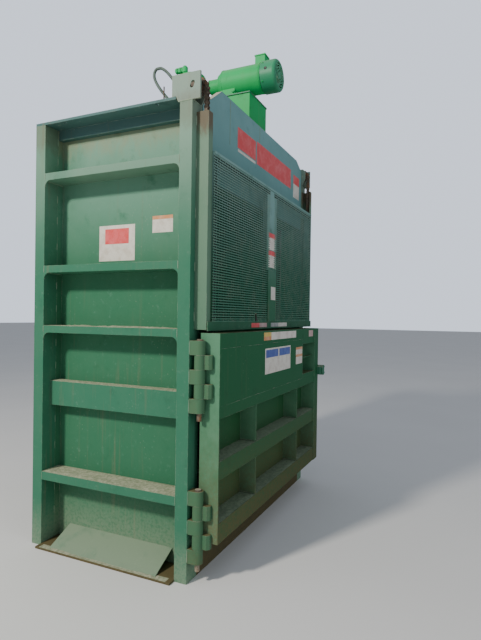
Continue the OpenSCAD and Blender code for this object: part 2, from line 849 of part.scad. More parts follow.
// Shoe that runs in a guide; the upper one has the eye for the chain
module gate_shoe(z0, with_eye) {
  eye_w = roller_w / 2 - 0.6;
  eye_y = axle_y - chain_r;
  difference() {
    union() {
      box([inset(gate_in + 1), guide_front + guide_wall + slide_gap, z0],
          [inset(guide_set + guide_wall + slide_gap), gate_back, z0 + shoe_h]);
      box([inset(guide_in - 1), guide_front + guide_wall + slide_gap, z0],
          [inset(guide_set + guide_wall + slide_gap), guide_back - guide_wall - slide_gap, z0 + shoe_h]);
      if (with_eye) translate([inset(chain_in), 0, 0])
        box([-eye_w, eye_y - 9, z0 + shoe_h - 1], [eye_w, eye_y + 9, run_end_z + 8]);
    }
    if (with_eye) bar_x([inset(chain_in) - 12, eye_y, run_end_z], chain_pin_r + run_gap, 24);
  }
}

// One diamond of the expanded mesh, centred on the origin
module diamond() {
  w = (diamond_w - strand_w * 2) / 2;
  h = (diamond_h - strand_w) / 2;
  polygon([[-w, 0], [-w * 0.12, h], [w * 0.12, h], [w, 0], [w * 0.12, -h], [-w * 0.12, -h]]);
}

// Sheet of expanded mesh in one bay of the gate
module mesh_bay(x0, x1) {
  z0 = gate_low + gate_rail_h;
  z1 = gate_high - gate_rail_h;
  cols = floor((x1 - x0 - 40) / diamond_w);
  rows = floor((z1 - z0 - 30) / diamond_h * 2) - 1;
  mid = (x0 + x1) / 2;
  base = (z0 + z1) / 2 - (rows - 1) * diamond_h / 4;
  translate([0, mesh_front + mesh_t, 0]) rotate([90, 0, 0]) linear_extrude(mesh_t) difference() {
    translate([x0, z0]) square([x1 - x0, z1 - z0]);
    for (r = [0:rows - 1]) {
      n = cols - r % 2;
      for (c = [0:n - 1])
        translate([mid + (c - (n - 1) / 2) * diamond_w, base + r * diamond_h / 2]) diamond();
    }
  }
}

// Expanded mesh of the gate: one sheet on each side of the centre stile
module gate_mesh() {
  color(green) {
    mesh_bay(gate_left + gate_stile_w, stile_left + 50);
    mesh_bay(stile_right - 50, gate_right - gate_stile_w);
  }
}

// Black hook that hangs from a stud above the gate's bottom rail
module gate_hook() {
  color(black) translate([hook_x, gate_front - slide_gap, hook_z]) rotate([90, 0, 0]) linear_extrude(7)
    difference() {
      union() {
        circle(r = 13, $fn = 48);
        translate([-8, -34]) square([16, 34]);
        translate([-8, -34]) square([26, 10]);
      }
      circle(r = hook_pin_r + run_gap, $fn = 48);
    }
}

// Pivot stud of the hook, on a plate that stands up from the bottom rail
module hook_stud() {
  box([hook_x - 20, gate_front, gate_low + gate_rail_h - 1], [hook_x + 20, mesh_front, hook_z + 18]);
  bar_y([hook_x, gate_front - 8, hook_z], hook_pin_r, 9);
  bar_y([hook_x, gate_front - 11, hook_z], hook_pin_r + 4, 3.2);
}

// One hinge knuckle round a pin, with a foot back to the post face
module frame_knuckle(z0) {
  difference() {
    union() {
      translate([pin_x, pin_y, z0]) cylinder(r = knuckle_r, h = knuckle_step - knuckle_gap, $fn = 64);
      box([pin_x - knuckle_r, pin_y, z0], [pin_x + knuckle_r, front_y, z0 + knuckle_step - knuckle_gap]);
    }
    translate([pin_x, pin_y, z0 - 1]) cylinder(r = hinge_pin_r + run_gap, h = knuckle_step + 2, $fn = 64);
  }
}

// Knuckles of both hinges that are welded to the left front post
module frame_knuckles() {
  color(dusty_green) for (h = hinge_z, i = [0:2:knuckles - 1]) frame_knuckle(h + i * knuckle_step);
}

// Hinge pins with a round head that rests on the top knuckle
module hinge_pins() {
  len = knuckles * knuckle_step;
  tail = 42;
  color(steel) for (h = hinge_z) translate([pin_x, pin_y, h - tail]) {
    cylinder(r = hinge_pin_r, h = len + tail, $fn = 64);
    translate([0, 0, len + tail - knuckle_gap]) cylinder(r1 = 19, r2 = 16, h = 7, $fn = 48);
  }
}

// One door knuckle with the arm that lies on the door's edge plate
module hinge_arm(z0) {
  z1 = z0 + knuckle_step - knuckle_gap;
  arm_x = door_lx - arm_t;
  difference() {
    union() {
      translate([pin_x, pin_y, z0]) cylinder(r = knuckle_r, h = z1 - z0, $fn = 64);
      box([arm_x, pin_y - arm_len, z0], [door_lx, pin_y, z1]);
      box([pin_x, pin_y - knuckle_r, z0], [door_lx, pin_y, z1]);
    }
    translate([pin_x, pin_y, z0 - 1]) cylinder(r = hinge_pin_r + run_gap, h = knuckle_step + 2, $fn = 64);
    translate([arm_x - 0.01, pin_y - arm_len - 0.01, z0 - 1]) rotate([0, 0, 0])
      linear_extrude(knuckle_step + 2) polygon([[0, 0], [arm_t * 0.4, 0], [0, arm_t * 0.4]]);
  }
}

// Knuckles and arms of both hinges on the door
module door_hinge_arms() {
  color(dusty_green) for (h = hinge_z, i = [1:2:knuckles - 1]) hinge_arm(h + i * knuckle_step);
}

// One horizontal rail of the door: a folded channel, open at the back
module door_rail(z0, height) {
  wall = 8;
  difference() {
    box([door_lx, door_front, z0], [stile_x, door_back, z0 + height]);
    box([door_lx - 1, door_front + wall, z0 + wall], [stile_x + 1, door_back - wall, z0 + height - wall]);
  }
}

// Door frame: back plate, rails, dividers, hinge edge plate and latch stile
module door_frame() {
  mid_z = door_low + mid_door_z;
  cover_z = door_low + cover_rail_z;
  color(green) {
    box([door_lx, door_back - 6, door_low], [stile_x, door_back, door_high]);
    door_rail(door_low, low_rail_h);
    door_rail(mid_z, mid_door_h);
    door_rail(cover_z, cover_rail_h);
    door_rail(door_high - top_rail_h, top_rail_h);
    box([door_lx, door_front, door_low], [door_lx + door_t, door_back, door_high]);
    for (d = divider_x)
      box([-half_w + d - door_t / 2, door_front + 2, door_low + low_rail_h - 1],
          [-half_w + d + door_t / 2, door_back - 5, cover_z + 1]);
    box([-half_w + cover_end, door_front + 2, cover_z + cover_rail_h - 1],
        [-half_w + cover_end + door_t, door_back - 5, door_high - top_rail_h + 1]);
    box([-half_w + cover_end, door_front + 16, cover_z + cover_rail_h + 152],
        [stile_x + 1, door_front + 46, cover_z + cover_rail_h + 160]);
    box([-half_w + cover_end, door_front, cover_z + cover_rail_h - 1],
        [stile_x + 1, door_back - 5, cover_z + cover_rail_h + 32]);
    box([-half_w + cover_end, door_front, door_high - top_rail_h - 36],
        [stile_x + 1, door_back - 5, door_high - top_rail_h + 1]);
    latch_stile();
  }
}

// Latch stile: an upright channel that stands a little proud of the rails
module latch_stile() {
  wall = 8;
  y0 = door_front - latch_stile_proud;
  difference() {
    box([stile_x, y0, door_low], [door_rx, door_back, door_high]);
    box([stile_x + wall, y0 + wall, door_low + wall], [door_rx - wall, door_back - wall, door_high - wall]);
  }
}

// Flat cover plate between the top rail and the rail below it
module door_cover() {
  z0 = door_low + cover_rail_z + cover_rail_h;
  color(green) box([door_lx + door_t, door_front, z0],
                   [-half_w + cover_end, door_front + 5, door_high - top_rail_h]);
}

// Liner that closes the chamber mouth: a sheet with folded pads between the tie grooves
module door_liner() {
  x = inset(liner_in);
  wall = 6;
  z0 = door_low + 8;
  z1 = door_high - 12;
  color(steel) difference() {
    box([-x, door_back, z0], [x, door_back + liner_d, z1]);
    for (i = [-3:2]) {
      a = i == -3 ? -x : i * tie_pitch + tie_w / 2;
      b = i == 2 ? x : (i + 1) * tie_pitch - tie_w / 2;
      box([a + wall, door_back - 1, z0 + wall], [b - wall, door_back + liner_d - wall, z1 - wall]);
      if (i < 2) box([b, door_back + wall, z0 - 1], [b + tie_w, door_back + liner_d + 1, z1 + 1]);
    }
  }
}

// Boss on the door's latch edge, with a slot for the latch bolt to swing into
module latch_boss() {
  x = door_rx + 45;
  slot = latch_bolt_r + 5;
  color(green) difference() {
    union() {
      bar_y([x, boss_front, latch_z], latch_boss_r, latch_boss_d);
      box([door_rx, door_front, latch_z - 40], [x + 20, door_back - 30, latch_z + 40]);
      box([door_rx - 30, boss_front + 14, latch_z - 30], [x, door_front - latch_stile_proud, latch_z + 30]);
    }
    box([latch_x - slot, boss_front - 1, latch_z - slot], [latch_x + 80, door_back, latch_z + slot]);
  }
}

// Ears on the right front post that carry the latch bolt
module latch_bracket() {
  ear = 10;
  gap = latch_bolt_r + 3 + slide_gap;
  color(dusty_green) {
    for (s = [-1, 1]) difference() {
      union() {
        box([half_w, latch_y - 22, latch_z + s * (gap + ear / 2) - ear / 2],
            [latch_x, latch_y + 22, latch_z + s * (gap + ear / 2) + ear / 2]);
        translate([latch_x, latch_y, latch_z + s * (gap + ear / 2)]) cylinder(r = 22, h = ear, center = true, $fn = 48);
      }
      translate([latch_x, latch_y, latch_z]) cylinder(r = 8 + run_gap, h = 120, center = true, $fn = 48);
    }
  }
}

// Latch bolt with its eye and cross pin, stored pointing to the back
module latch_bolt() {
  color(steel) {
    translate([latch_x, latch_y, latch_z]) {
      cylinder(r = 8, h = 2 * (latch_bolt_r + 3 + slide_gap) + 2 * 10 + 4, center = true, $fn = 48);
      cylinder(r = 20, h = 2 * (latch_bolt_r + 3), center = true, $fn = 48);
    }
    bar_y([latch_x, latch_y, latch_z], latch_bolt_r, latch_reach + nut_len + 14);
  }
}

// Tee nut on the end of the latch bolt
module latch_nut() {
  y0 = latch_y + latch_reach + 6;
  color(rust) difference() {
    union() {
      bar_y([latch_x, y0, latch_z], latch_nut_r, nut_len);
      translate([latch_x, y0 + nut_len / 2, latch_z])
        cylinder(r = 8, h = tee_bar_len, center = true, $fn = 32);
    }
    bar_y([latch_x, y0 - 1, latch_z], latch_bolt_r + run_gap, nut_len + 2);
  }
}

// Platen: face bars with tie grooves, plate, perimeter beams and guide shoes
module platen() {
  z1 = platen_z + platen_bar_t;
  z2 = rod_base;
  z3 = z2 + platen_beam_h;
  wall = 8;
  color(green) {
    difference() {
      box([platen_lx, platen_front, platen_z], [-platen_lx, platen_back, z2]);
      for (i = [-2:2])
        box([i * tie_pitch - tie_w / 2, platen_front - 1, platen_z - 1],
            [i * tie_pitch + tie_w / 2, platen_back + 1, z1]);
    }
    difference() {
      box([platen_lx, platen_front, z2 - 1], [-platen_lx, platen_back, z3]);
      box([platen_lx + wall, platen_front + wall, z2 - 2], [-platen_lx - wall, platen_back - wall, z3 + 1]);
    }
    for (s = [-1, 1], x = platen_rib_x)
      box([s * x - wall / 2, platen_front + wall - 1, z2 - 1], [s * x + wall / 2, platen_back - wall + 1, z3]);
  }
  shoe_w = wall_bar_w - 10;
  color(steel) for (s = [-1, 1], y = [front_y + wall_bar_set, rear_face - wall_bar_set]) on_side(s)
    box([-platen_lx - 1, y - shoe_w / 2, platen_z + 20],
        [inset(skin_in + wall_bar_t + slide_gap), y + shoe_w / 2, z3 - 10]);
}

// Ram rod with its foot on the platen and its piston in the barrel
module ram_rod() {
  color(steel) translate([0, ram_y, 0]) {
    translate([0, 0, rod_base]) cylinder(r = rod_foot_r, h = rod_foot_t, $fn = 64);
    translate([0, 0, rod_base + rod_foot_t - 1])
      cylinder(r = rod_r, h = piston_top - rod_base - rod_foot_t, $fn = 64);
    translate([0, 0, piston_top - piston_len]) cylinder(r = bore_r - slide_gap, h = piston_len, $fn = 96);
  }
}

// Ram barrel with its roof flange, gland, end cap and upper port
module ram_barrel() {
  color(bright_green) translate([0, ram_y, 0]) difference() {
    union() {
      translate([0, 0, barrel_low]) cylinder(r = barrel_r, h = barrel_high - barrel_low, $fn = 96);
      translate([0, 0, roof_top + flange_t / 2]) cube([flange_w, flange_w, flange_t], center = true);
      translate([0, 0, barrel_high - 34]) cylinder(r = barrel_r + 7, h = 22, $fn = 96);
      for (a = [0, 90, 180, 270]) rotate([0, 0, a + 45]) translate([0, 0, roof_top + flange_t - 1])
        rotate([90, 0, 0]) linear_extrude(10, center = true)
          polygon([[barrel_r - 4, 0], [barrel_r + 50, 0], [barrel_r + 50, 10], [barrel_r - 4, 90]]);
      translate([0, 0, barrel_high - 1]) cylinder(r = 26, h = 13, $fn = 48);
      hose_port();
    }
    translate([0, 0, barrel_low + gland_len]) cylinder(r = bore_r, h = barrel_high - cap_t - barrel_low - gland_len, $fn = 96);
    translate([0, 0, barrel_low - 1]) cylinder(r = rod_r + slide_gap, h = gland_len + 2, $fn = 64);
    for (x = [-1, 1], y = [-1, 1]) translate([x * (flange_w / 2 - 26), y * (flange_w / 2 - 26), roof_top - 1])
      cylinder(r = 11, h = flange_t + 2, $fn = 32);
  }
}

// Upper port of the barrel: a stub and an elbow that end at the hose
module hose_port() {
  p = hose_route[0] - [0, ram_y, 0];
  dir = hose_route[1] - hose_route[0];
  tilt = acos(dir[2] / norm(dir));
  bar_y([p[0], barrel_r - 8, p[2] - 38], 15, p[1] - barrel_r + 6);
  translate([p[0], p[1] - 2, p[2] - 38]) sphere(r = 17, $fn = 32);
  translate([p[0], p[1] - 2, p[2] - 38]) cylinder(r = 13, h = 28, $fn = 32);
  translate(p) rotate([-tilt, 0, 0]) translate([0, 0, -22]) cylinder(r = 15, h = 22, $fn = 32);
}

// Ejector: two arms on a pivot tube, a cross bar and a lip up the rear wall
module ejector() {
  z0 = floor_z + 0.4;
  y1 = ejector_y + ejector_len;
  color(rust) {
    for (s = [-1, 1]) {
      box([s * ejector_arm_x - ejector_w / 2, ejector_y, z0], [s * ejector_arm_x + ejector_w / 2, y1, z0 + ejector_t]);
      bar_x([s * ejector_arm_x - ejector_w / 2, ejector_y, ejector_z], ejector_tube_r, ejector_w);
      bar_x([s * ejector_arm_x - ejector_w / 2 - lug_t - 3, ejector_y, ejector_z], ejector_pin_r, ejector_w + 2 * lug_t + 6);
      box([s * ejector_arm_x - ejector_w / 2, y1 - ejector_t, z0], [s * ejector_arm_x + ejector_w / 2, y1, z0 + ejector_lip]);
    }
    box([-ejector_arm_x, y1 - 40 - ejector_bar_w, z0], [ejector_arm_x, y1 - 40, z0 + ejector_t]);
    box([-ejector_arm_x, y1 - ejector_t, z0 + ejector_lip - ejector_bar_w], [ejector_arm_x, y1, z0 + ejector_lip]);
  }
}

// Oil tank: a welded box that is open under its lid
module oil_tank() {
  x0 = tank_x - tank_w / 2;
  x1 = tank_x + tank_w / 2;
  y1 = tank_back;
  wall = 5;
  color(bright_green) difference() {
    box([x0, tank_y, roof_top], [x1, y1, tank_top - tank_lid_t]);
    box([x0 + wall, tank_y + wall, roof_top + wall], [x1 - wall, y1 - wall, tank_top]);
  }
}

// Tank lid with the motor's rails and a filler breather
module tank_lid() {
  x0 = tank_x - tank_w / 2;
  x1 = tank_x + tank_w / 2;
  y1 = tank_back;
  rail = [tank_y + lid_rail_y[0], tank_y + lid_rail_y[1]];
  foot = [tank_y + motor_foot_y[0] - 10, tank_y + motor_foot_y[1] + 10];
  color(bright_green) {
    box([x0 - 8, tank_y - 4, tank_top - tank_lid_t], [x1 + 8, y1, tank_top]);
    for (s = [-1, 1]) box([tank_x + s * lid_rail_x - 22, rail[0], tank_top - 1],
                          [tank_x + s * lid_rail_x + 22, rail[1], tank_top + 10]);
    box([tank_x - lid_rail_x - 22, rail[0] + 20, tank_top + 9], [tank_x + lid_rail_x + 22, rail[1] - 20, tank_top + 16]);
    for (s = [-1, 1]) translate([tank_x + s * motor_foot_x, foot[1], tank_top + 15]) rotate([90, 0, 0])
      linear_extrude(foot[1] - foot[0]) polygon([[-16, 0], [16, 0], [14, 20], [-14, 20]]);
  }
  color(steel) translate([x1 - 40, y1 - 34, tank_top - 1]) {
    cylinder(r = 20, h = 12, $fn = 48);
    translate([0, 0, 11]) cylinder(r = 28, h = 34, $fn = 48);
  }
}

// Motor body: a smooth shell with end bells and feet
module motor_body() {
  color(bright_green) translate([tank_x, 0, motor_z]) {
    difference() {
      union() {
        bar_y([0, motor_front + 6, 0], motor_r, motor_len - 30);
        translate([0, motor_back - 24.1, 0]) rotate([-90, 0, 0]) cylinder(r1 = motor_r, r2 = motor_r - 16, h = 24, $fn = 96);
        bar_y([0, motor_front, 0], motor_r - 8, 8);
      }
      bar_y([0, motor_front - 1, 0], motor_r - 30, 18);
      bar_y([0, motor_front - 1, 0], shaft_r + run_gap, 60);
    }
    for (s = [-1, 1]) translate([s * motor_foot_x, 0, 0])
      box([-20, tank_y + motor_foot_y[0], tank_top + 35 - motor_z],
          [20, tank_y + motor_foot_y[1], -sqrt(pow(motor_r, 2) - pow(motor_foot_x + 20, 2)) + 14]);
  }
}

// Fan cover: a deep drawn shell with rings of slots in its front
module fan_cover() {
  y0 = front_y - fan_cover_front;
  wall = 3;
  color(bright_green) translate([tank_x, y0, motor_z]) rotate([-90, 0, 0]) difference() {
    rotate_extrude($fn = 96) difference() {
      union() {
        square([fan_cover_r - 22, fan_cover_len]);
        translate([0, 22]) square([fan_cover_r, fan_cover_len - 22]);
        translate([fan_cover_r - 22, 22]) circle(r = 22, $fn = 48);
      }
      translate([-1, wall]) square([fan_cover_r - 22, fan_cover_len]);
      translate([0, 22]) square([fan_cover_r - wall, fan_cover_len]);
      translate([fan_cover_r - 22, 22]) circle(r = 22 - wall, $fn = 48);
    }
    for (ring = [30, 46, 62, 78], a = [0:60:300]) rotate([0, 0, a + ring]) fan_slot(ring, 42);
  }
}

// One curved slot of the fan cover's front
module fan_slot(r, sweep) {
  translate([0, 0, -1]) rotate([0, 0, -sweep / 2]) rotate_extrude(angle = sweep, $fn = 96)
    translate([r - 4, 0]) square([8, 6]);
}

// Cooling fan on the motor shaft: a hub with flat blades
module motor_fan() {
  y0 = front_y - fan_cover_front + 26;
  color(black) translate([tank_x, y0, motor_z]) rotate([-90, 0, 0]) {
    cylinder(r = 24, h = 34, $fn = 48);
    cylinder(r = shaft_r, h = motor_front + 54 - y0, $fn = 48);
    for (a = [0:45:315]) rotate([0, 0, a]) translate([20, -2, 4]) cube([70, 4, 28]);
  }
}

// Bell housing and pump on the drive end of the motor
module bell_housing() {
  color(bright_green) translate([tank_x, 0, motor_z]) {
    bar_y([0, motor_back, 0], bell_r + 22, 10);
    bar_y([0, motor_back + 9, 0], bell_r, bell_len - 21);
    translate([-44, bell_back - 14, -44]) cube([88, 14, 88]);
  }
}

// Junction box on top of the motor
module junction_box() {
  y0 = front_y + 18;
  z0 = motor_z + motor_r * 0.86;
  color(bright_green) {
    difference() {
      box([tank_x - 38, y0, z0], [tank_x + 38, y0 + 74, motor_z + 148]);
      translate([tank_x, 0, motor_z]) bar_y([0, front_y, 0], motor_r + 0.1, 200);
      translate([tank_x, 0, motor_z]) bar_y([0, front_y - 20, 0], fan_cover_r + 0.1, 20 + fan_cover_len - fan_cover_front);
    }
    box([tank_x - 42, y0 - 4, motor_z + 148], [tank_x + 42, y0 + 78, motor_z + 156]);
  }
}

// Valve block on the roof, with the fitting that the hose screws into
module valve_block() {
  end = hose_route[len(hose_route) - 1];
  color(steel) {
    translate([end[0], end[1], roof_top + valve_h / 2]) cube([valve_w, valve_d, valve_h], center = true);
    translate([end[0], end[1], valve_top - 1]) cylinder(r = 16, h = valve_nut_h + 1, $fn = 6);
    bar_y([end[0] + 20, tank_back + 0.3, roof_top + 70], 18, end[1] - valve_d / 2 - tank_back + 0.7);
  }
}

// Unit tangent at a point of the hose, and the ring of points round it
function unit(v) = v / norm(v);
function hose_dir(i) = unit(hose_route[min(i + 1, len(hose_route) - 1)] - hose_route[max(i - 1, 0)]);
function hose_side(i) = unit(cross(hose_dir(i), cross(i == 0 ? [1, 0, 0] : hose_side(i - 1), hose_dir(i))));
function hose_ring(i) = [for (k = [0:hose_sides - 1])
  let (a = k * 360 / hose_sides, s = hose_side(i))
  hose_route[i] + hose_r * (cos(a) * s + sin(a) * cross(hose_dir(i), s))];

// Hydraulic hose, swept along its route
module hydraulic_hose() {
  n = len(hose_route);
  m = hose_sides;
  color(black) polyhedron(
    points = [for (i = [0:n - 1]) each hose_ring(i)],
    faces = concat(
      [[for (k = [0:m - 1]) k]],
      [[for (k = [m - 1:-1:0]) (n - 1) * m + k]],
      [for (i = [0:n - 2], k = [0:m - 1])
        [i * m + (k + 1) % m, i * m + k, (i + 1) * m + k, (i + 1) * m + (k + 1) % m]]));
}

// Control box: an open-fronted steel box with hinge lugs
module control_box() {
  wall = 3;
  y1 = control_y0 + control_w;
  z1 = control_z + control_h;
  color(green) {
    difference() {
      box([control_x, control_y0, control_z], [control_x + control_d, y1, z1]);
      box([control_x + wall, control_y0 + wall, control_z + wall], [control_x + control_d + 1, y1 - wall, z1 - wall]);
    }
    for (z = lid_hinge_z) {
      lid_knuckle(z - lid_knuckle_h, [lid_x - 24, y1 - 1], [lid_x - 1, lid_axis_y], false);
      translate([lid_x, lid_axis_y, z - lid_knuckle_h]) cylinder(r = lid_pin_r, h = 2 * lid_knuckle_h, $fn = 32);
    }
  }
}

// One knuckle of the lid hinge with its leaf between two corners in plan
module lid_knuckle(z0, low, high, bored) {
  difference() {
    union() {
      translate([lid_x, lid_axis_y, z0]) cylinder(r = lid_knuckle_r, h = lid_knuckle_h - 0.5, $fn = 48);
      box([low[0], low[1], z0], [high[0], high[1], z0 + lid_knuckle_h - 0.5]);
    }
    if (bored) translate([lid_x, lid_axis_y, z0 - 1])
      cylinder(r = lid_pin_r + run_gap, h = lid_knuckle_h + 2, $fn = 48);
  }
}

// Lid of the control box with holes for its buttons
module control_lid() {
  y1 = control_y0 + control_w;
  z1 = control_z + control_h;
  color(green) for (z = lid_hinge_z) lid_knuckle(z, [lid_x + 1, y1 + 3], [lid_x + 7, lid_axis_y], true);
  color(green) difference() {
    box([lid_x, control_y0 - 4, control_z - 4], [lid_front, y1 + 4, z1 + 4]);
    box([lid_x - 1, control_y0 + 6, control_z + 6], [lid_front - 4, y1 - 6, z1 - 6]);
    bar_x([lid_x - 1, start_y, button_z], start_r * 0.6 + slide_gap, lid_t + 2);
    bar_x([lid_x - 1, stop_y, button_z], stop_r * 0.5 + slide_gap, lid_t + 2);
    bar_x([lid_x - 1, (start_y + stop_y) / 2, mode_z], 10 + run_gap, lid_t + 2);
  }
}

// Green start button with its stem
module start_button() {
  color("#2f9d4a") {
    bar_x([lid_front + 5, start_y, button_z], start_r, 8);
    bar_x([lid_front - 10, start_y, button_z], start_r * 0.6, 16);
  }
}

// Red mushroom stop button with its stem
module stop_button() {
  color("#b3261e") {
    bar_x([lid_front + 8, stop_y, button_z], stop_r, 10);
    bar_x([lid_front - 10, stop_y, button_z], stop_r * 0.5, 19);
  }
}

// Turning mode switch with a raised grip
module mode_switch() {
  y = (start_y + stop_y) / 2;
  color(black) {
    bar_x([lid_front - 10, y, mode_z], 10, 12);
    bar_x([lid_front + slide_gap, y, mode_z], 17, 9);
    box([lid_front + 9, y - 4, mode_z - 16], [lid_front + 20, y + 4, mode_z + 16]);
  }
}

base_plate();
chamber_floor();
on_side(-1) corner_post(front_y, post_h, true);  // left_front_post
on_side(1) corner_post(front_y, post_h, true);  // right_front_post
on_side(-1) corner_post(back_y - post_y, rear_post_h, false);  // left_rear_post
on_side(1) corner_post(back_y - post_y, rear_post_h, false);  // right_rear_post
on_side(-1) side_sheet();  // left_side_sheet
on_side(1) side_sheet();  // right_side_sheet
on_side(-1) side_ribs();  // left_ribs
on_side(1) side_ribs();  // right_ribs
on_side(-1) toe_plate();  // left_toe_plate
on_side(1) toe_plate();  // right_toe_plate
rear_sheet();
rear_ribs();
roof_plate();
upper_front_panel();
wall_bars();
on_side(-1) gate_guide();  // left_gate_guide
on_side(1) gate_guide();  // right_gate_guide
on_side(-1) sheave_bracket();  // left_sheave_bracket
on_side(1) sheave_bracket();  // right_sheave_bracket
on_side(-1) chain_wrap();  // left_chain_wrap
on_side(1) chain_wrap();  // right_chain_wrap
on_side(-1) gate_chain();  // left_chain_run
on_side(1) gate_chain();  // right_chain_run
on_side(-1) sheave();  // left_sheave
on_side(1) sheave();  // right_sheave
on_side(-1) counterweight();  // left_counterweight
on_side(1) counterweight();  // right_counterweight
gate_frame();
gate_mesh();
gate_hook();
frame_knuckles();
hinge_pins();
door_frame();
door_cover();
door_liner();
door_hinge_arms();
latch_boss();
latch_bracket();
latch_bolt();
latch_nut();
platen();
ram_rod();
ram_barrel();
ejector();
oil_tank();
tank_lid();
motor_body();
fan_cover();
motor_fan();
bell_housing();
junction_box();
valve_block();
hydraulic_hose();
control_box();
control_lid();
start_button();
stop_button();
mode_switch();
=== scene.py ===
"""Looks of a vertical recycling baler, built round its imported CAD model.

Lengths are in metres, in the frame of the CAD model: +X runs to the right seen from the
front, +Y to the back and +Z up, from the middle of the footprint on the ground.
"""

import logging
import math
import random
from dataclasses import dataclass, field
from enum import Enum
from itertools import count
from typing import Callable, Sequence

import bmesh
import bpy
from mathutils import Matrix, Vector, noise

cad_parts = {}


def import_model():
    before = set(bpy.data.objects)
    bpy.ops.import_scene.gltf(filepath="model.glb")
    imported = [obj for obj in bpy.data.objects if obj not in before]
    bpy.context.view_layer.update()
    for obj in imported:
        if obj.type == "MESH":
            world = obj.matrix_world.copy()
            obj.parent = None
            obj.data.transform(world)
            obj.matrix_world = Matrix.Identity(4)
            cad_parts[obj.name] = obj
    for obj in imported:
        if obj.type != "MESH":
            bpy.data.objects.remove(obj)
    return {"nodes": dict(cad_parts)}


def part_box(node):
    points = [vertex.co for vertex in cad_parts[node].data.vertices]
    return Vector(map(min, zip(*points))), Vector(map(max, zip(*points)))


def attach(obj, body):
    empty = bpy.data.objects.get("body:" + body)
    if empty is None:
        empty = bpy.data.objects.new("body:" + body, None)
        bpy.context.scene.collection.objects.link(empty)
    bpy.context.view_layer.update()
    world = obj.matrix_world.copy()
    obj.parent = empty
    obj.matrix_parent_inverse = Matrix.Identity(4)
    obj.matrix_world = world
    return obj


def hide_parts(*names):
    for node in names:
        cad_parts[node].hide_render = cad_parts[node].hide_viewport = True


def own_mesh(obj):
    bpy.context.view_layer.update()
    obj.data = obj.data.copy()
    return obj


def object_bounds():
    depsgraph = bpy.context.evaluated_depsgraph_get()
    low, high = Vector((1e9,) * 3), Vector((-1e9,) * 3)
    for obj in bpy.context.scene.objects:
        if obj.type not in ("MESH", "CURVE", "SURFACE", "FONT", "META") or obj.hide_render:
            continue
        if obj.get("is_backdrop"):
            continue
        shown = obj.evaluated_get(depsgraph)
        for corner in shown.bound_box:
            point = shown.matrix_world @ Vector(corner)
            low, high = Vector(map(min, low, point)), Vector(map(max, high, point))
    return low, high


log = logging.getLogger("baler")

Rgb = tuple[float, float, float]
Shade = tuple[int, int, int]
Point = tuple[float, float, float]
Span = tuple[float, float]
Profile = tuple[tuple[float, float], ...]

# Size over the posts, and the planes of the faces that small pieces sit on
BODY_W = 1.930
BODY_D = 1.083
HALF_W = BODY_W / 2
FRONT_Y = -BODY_D / 2
SKIN_X = -0.820
GATE_Y = -0.6235
DOOR_Y = -0.6885

# Lowest knuckle of the lower hinge, and how far the upper hinge is above it
HINGE_LOW = 0.111
HINGE_RISE = 0.776

SIDES = (-1, 1)
UP = (0, 0, 1)


def across(x: float) -> float:
    """X in the frame of a place measured from the left side of the posts."""
    return x - HALF_W


def behind(y: float) -> float:
    """Y in the frame of a place measured back from the face of the front posts."""
    return y + FRONT_Y


def knuckle_feet(steps: Sequence[float]) -> list[float]:
    """Undersides of knuckles on both hinges, by their distance above a hinge's lowest one."""
    return [HINGE_LOW + hinge + step for hinge in (0.0, HINGE_RISE) for step in steps]


def linear(shade: Shade) -> Rgb:
    """Turns a screen colour to linear light.

    Args:
        shade: The colour as seen on a screen, from 0 to 255.

    Returns:
        The colour in linear light, from 0 to 1.
    """
    shares = [value / 255 for value in shade]
    return tuple(share / 12.92 if share <= 0.04045 else ((share + 0.055) / 1.055) ** 2.4
                 for share in shares)


def rgba(shade: Shade) -> tuple[float, float, float, float]:
    """A screen colour in linear light with full alpha, as sockets want it."""
    return (*linear(shade), 1.0)


def spline(points: Sequence[Point], steps: int) -> list[Vector]:
    """A smooth line through points.

    Args:
        points: The points, in order.
        steps: How many points follow each given one.

    Returns:
        The finer line, with the given points on it.
    """
    line = [Vector(point) for point in points]
    smooth = []
    for i in range(len(line) - 1):
        before, start = line[max(i - 1, 0)], line[i]
        end, after = line[i + 1], line[min(i + 2, len(line) - 1)]
        for k in range(steps):
            t = k / steps
            smooth.append(0.5 * (2 * start + (end - before) * t
                                 + (2 * before - 5 * start + 4 * end - after) * t ** 2
                                 + (3 * start - before - 3 * end + after) * t ** 3))
    return smooth + [line[-1]]


class Frame:
    """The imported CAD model, which stays where it is and carries every piece."""

    def __init__(self) -> None:
        """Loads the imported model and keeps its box."""
        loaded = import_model()
        self.nodes: dict[str, bpy.types.Object] = loaded["nodes"]
        self.cad_box = [list(corner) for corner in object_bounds()]

    def low(self, node: str) -> Vector:
        """Lowest corner of a CAD node."""
        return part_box(node)[0]

    def high(self, node: str) -> Vector:
        """Highest corner of a CAD node."""
        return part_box(node)[1]

    def dress(self, material: bpy.types.Material, *names: str) -> None:
        """Gives CAD nodes a finish.

        Args:
            material: The finish.
            names: The nodes that get it.
        """
        for name in names:
            slots = self.nodes[name].data.materials
            if not slots:
                slots.append(material)
            for index in range(len(slots)):
                slots[index] = material


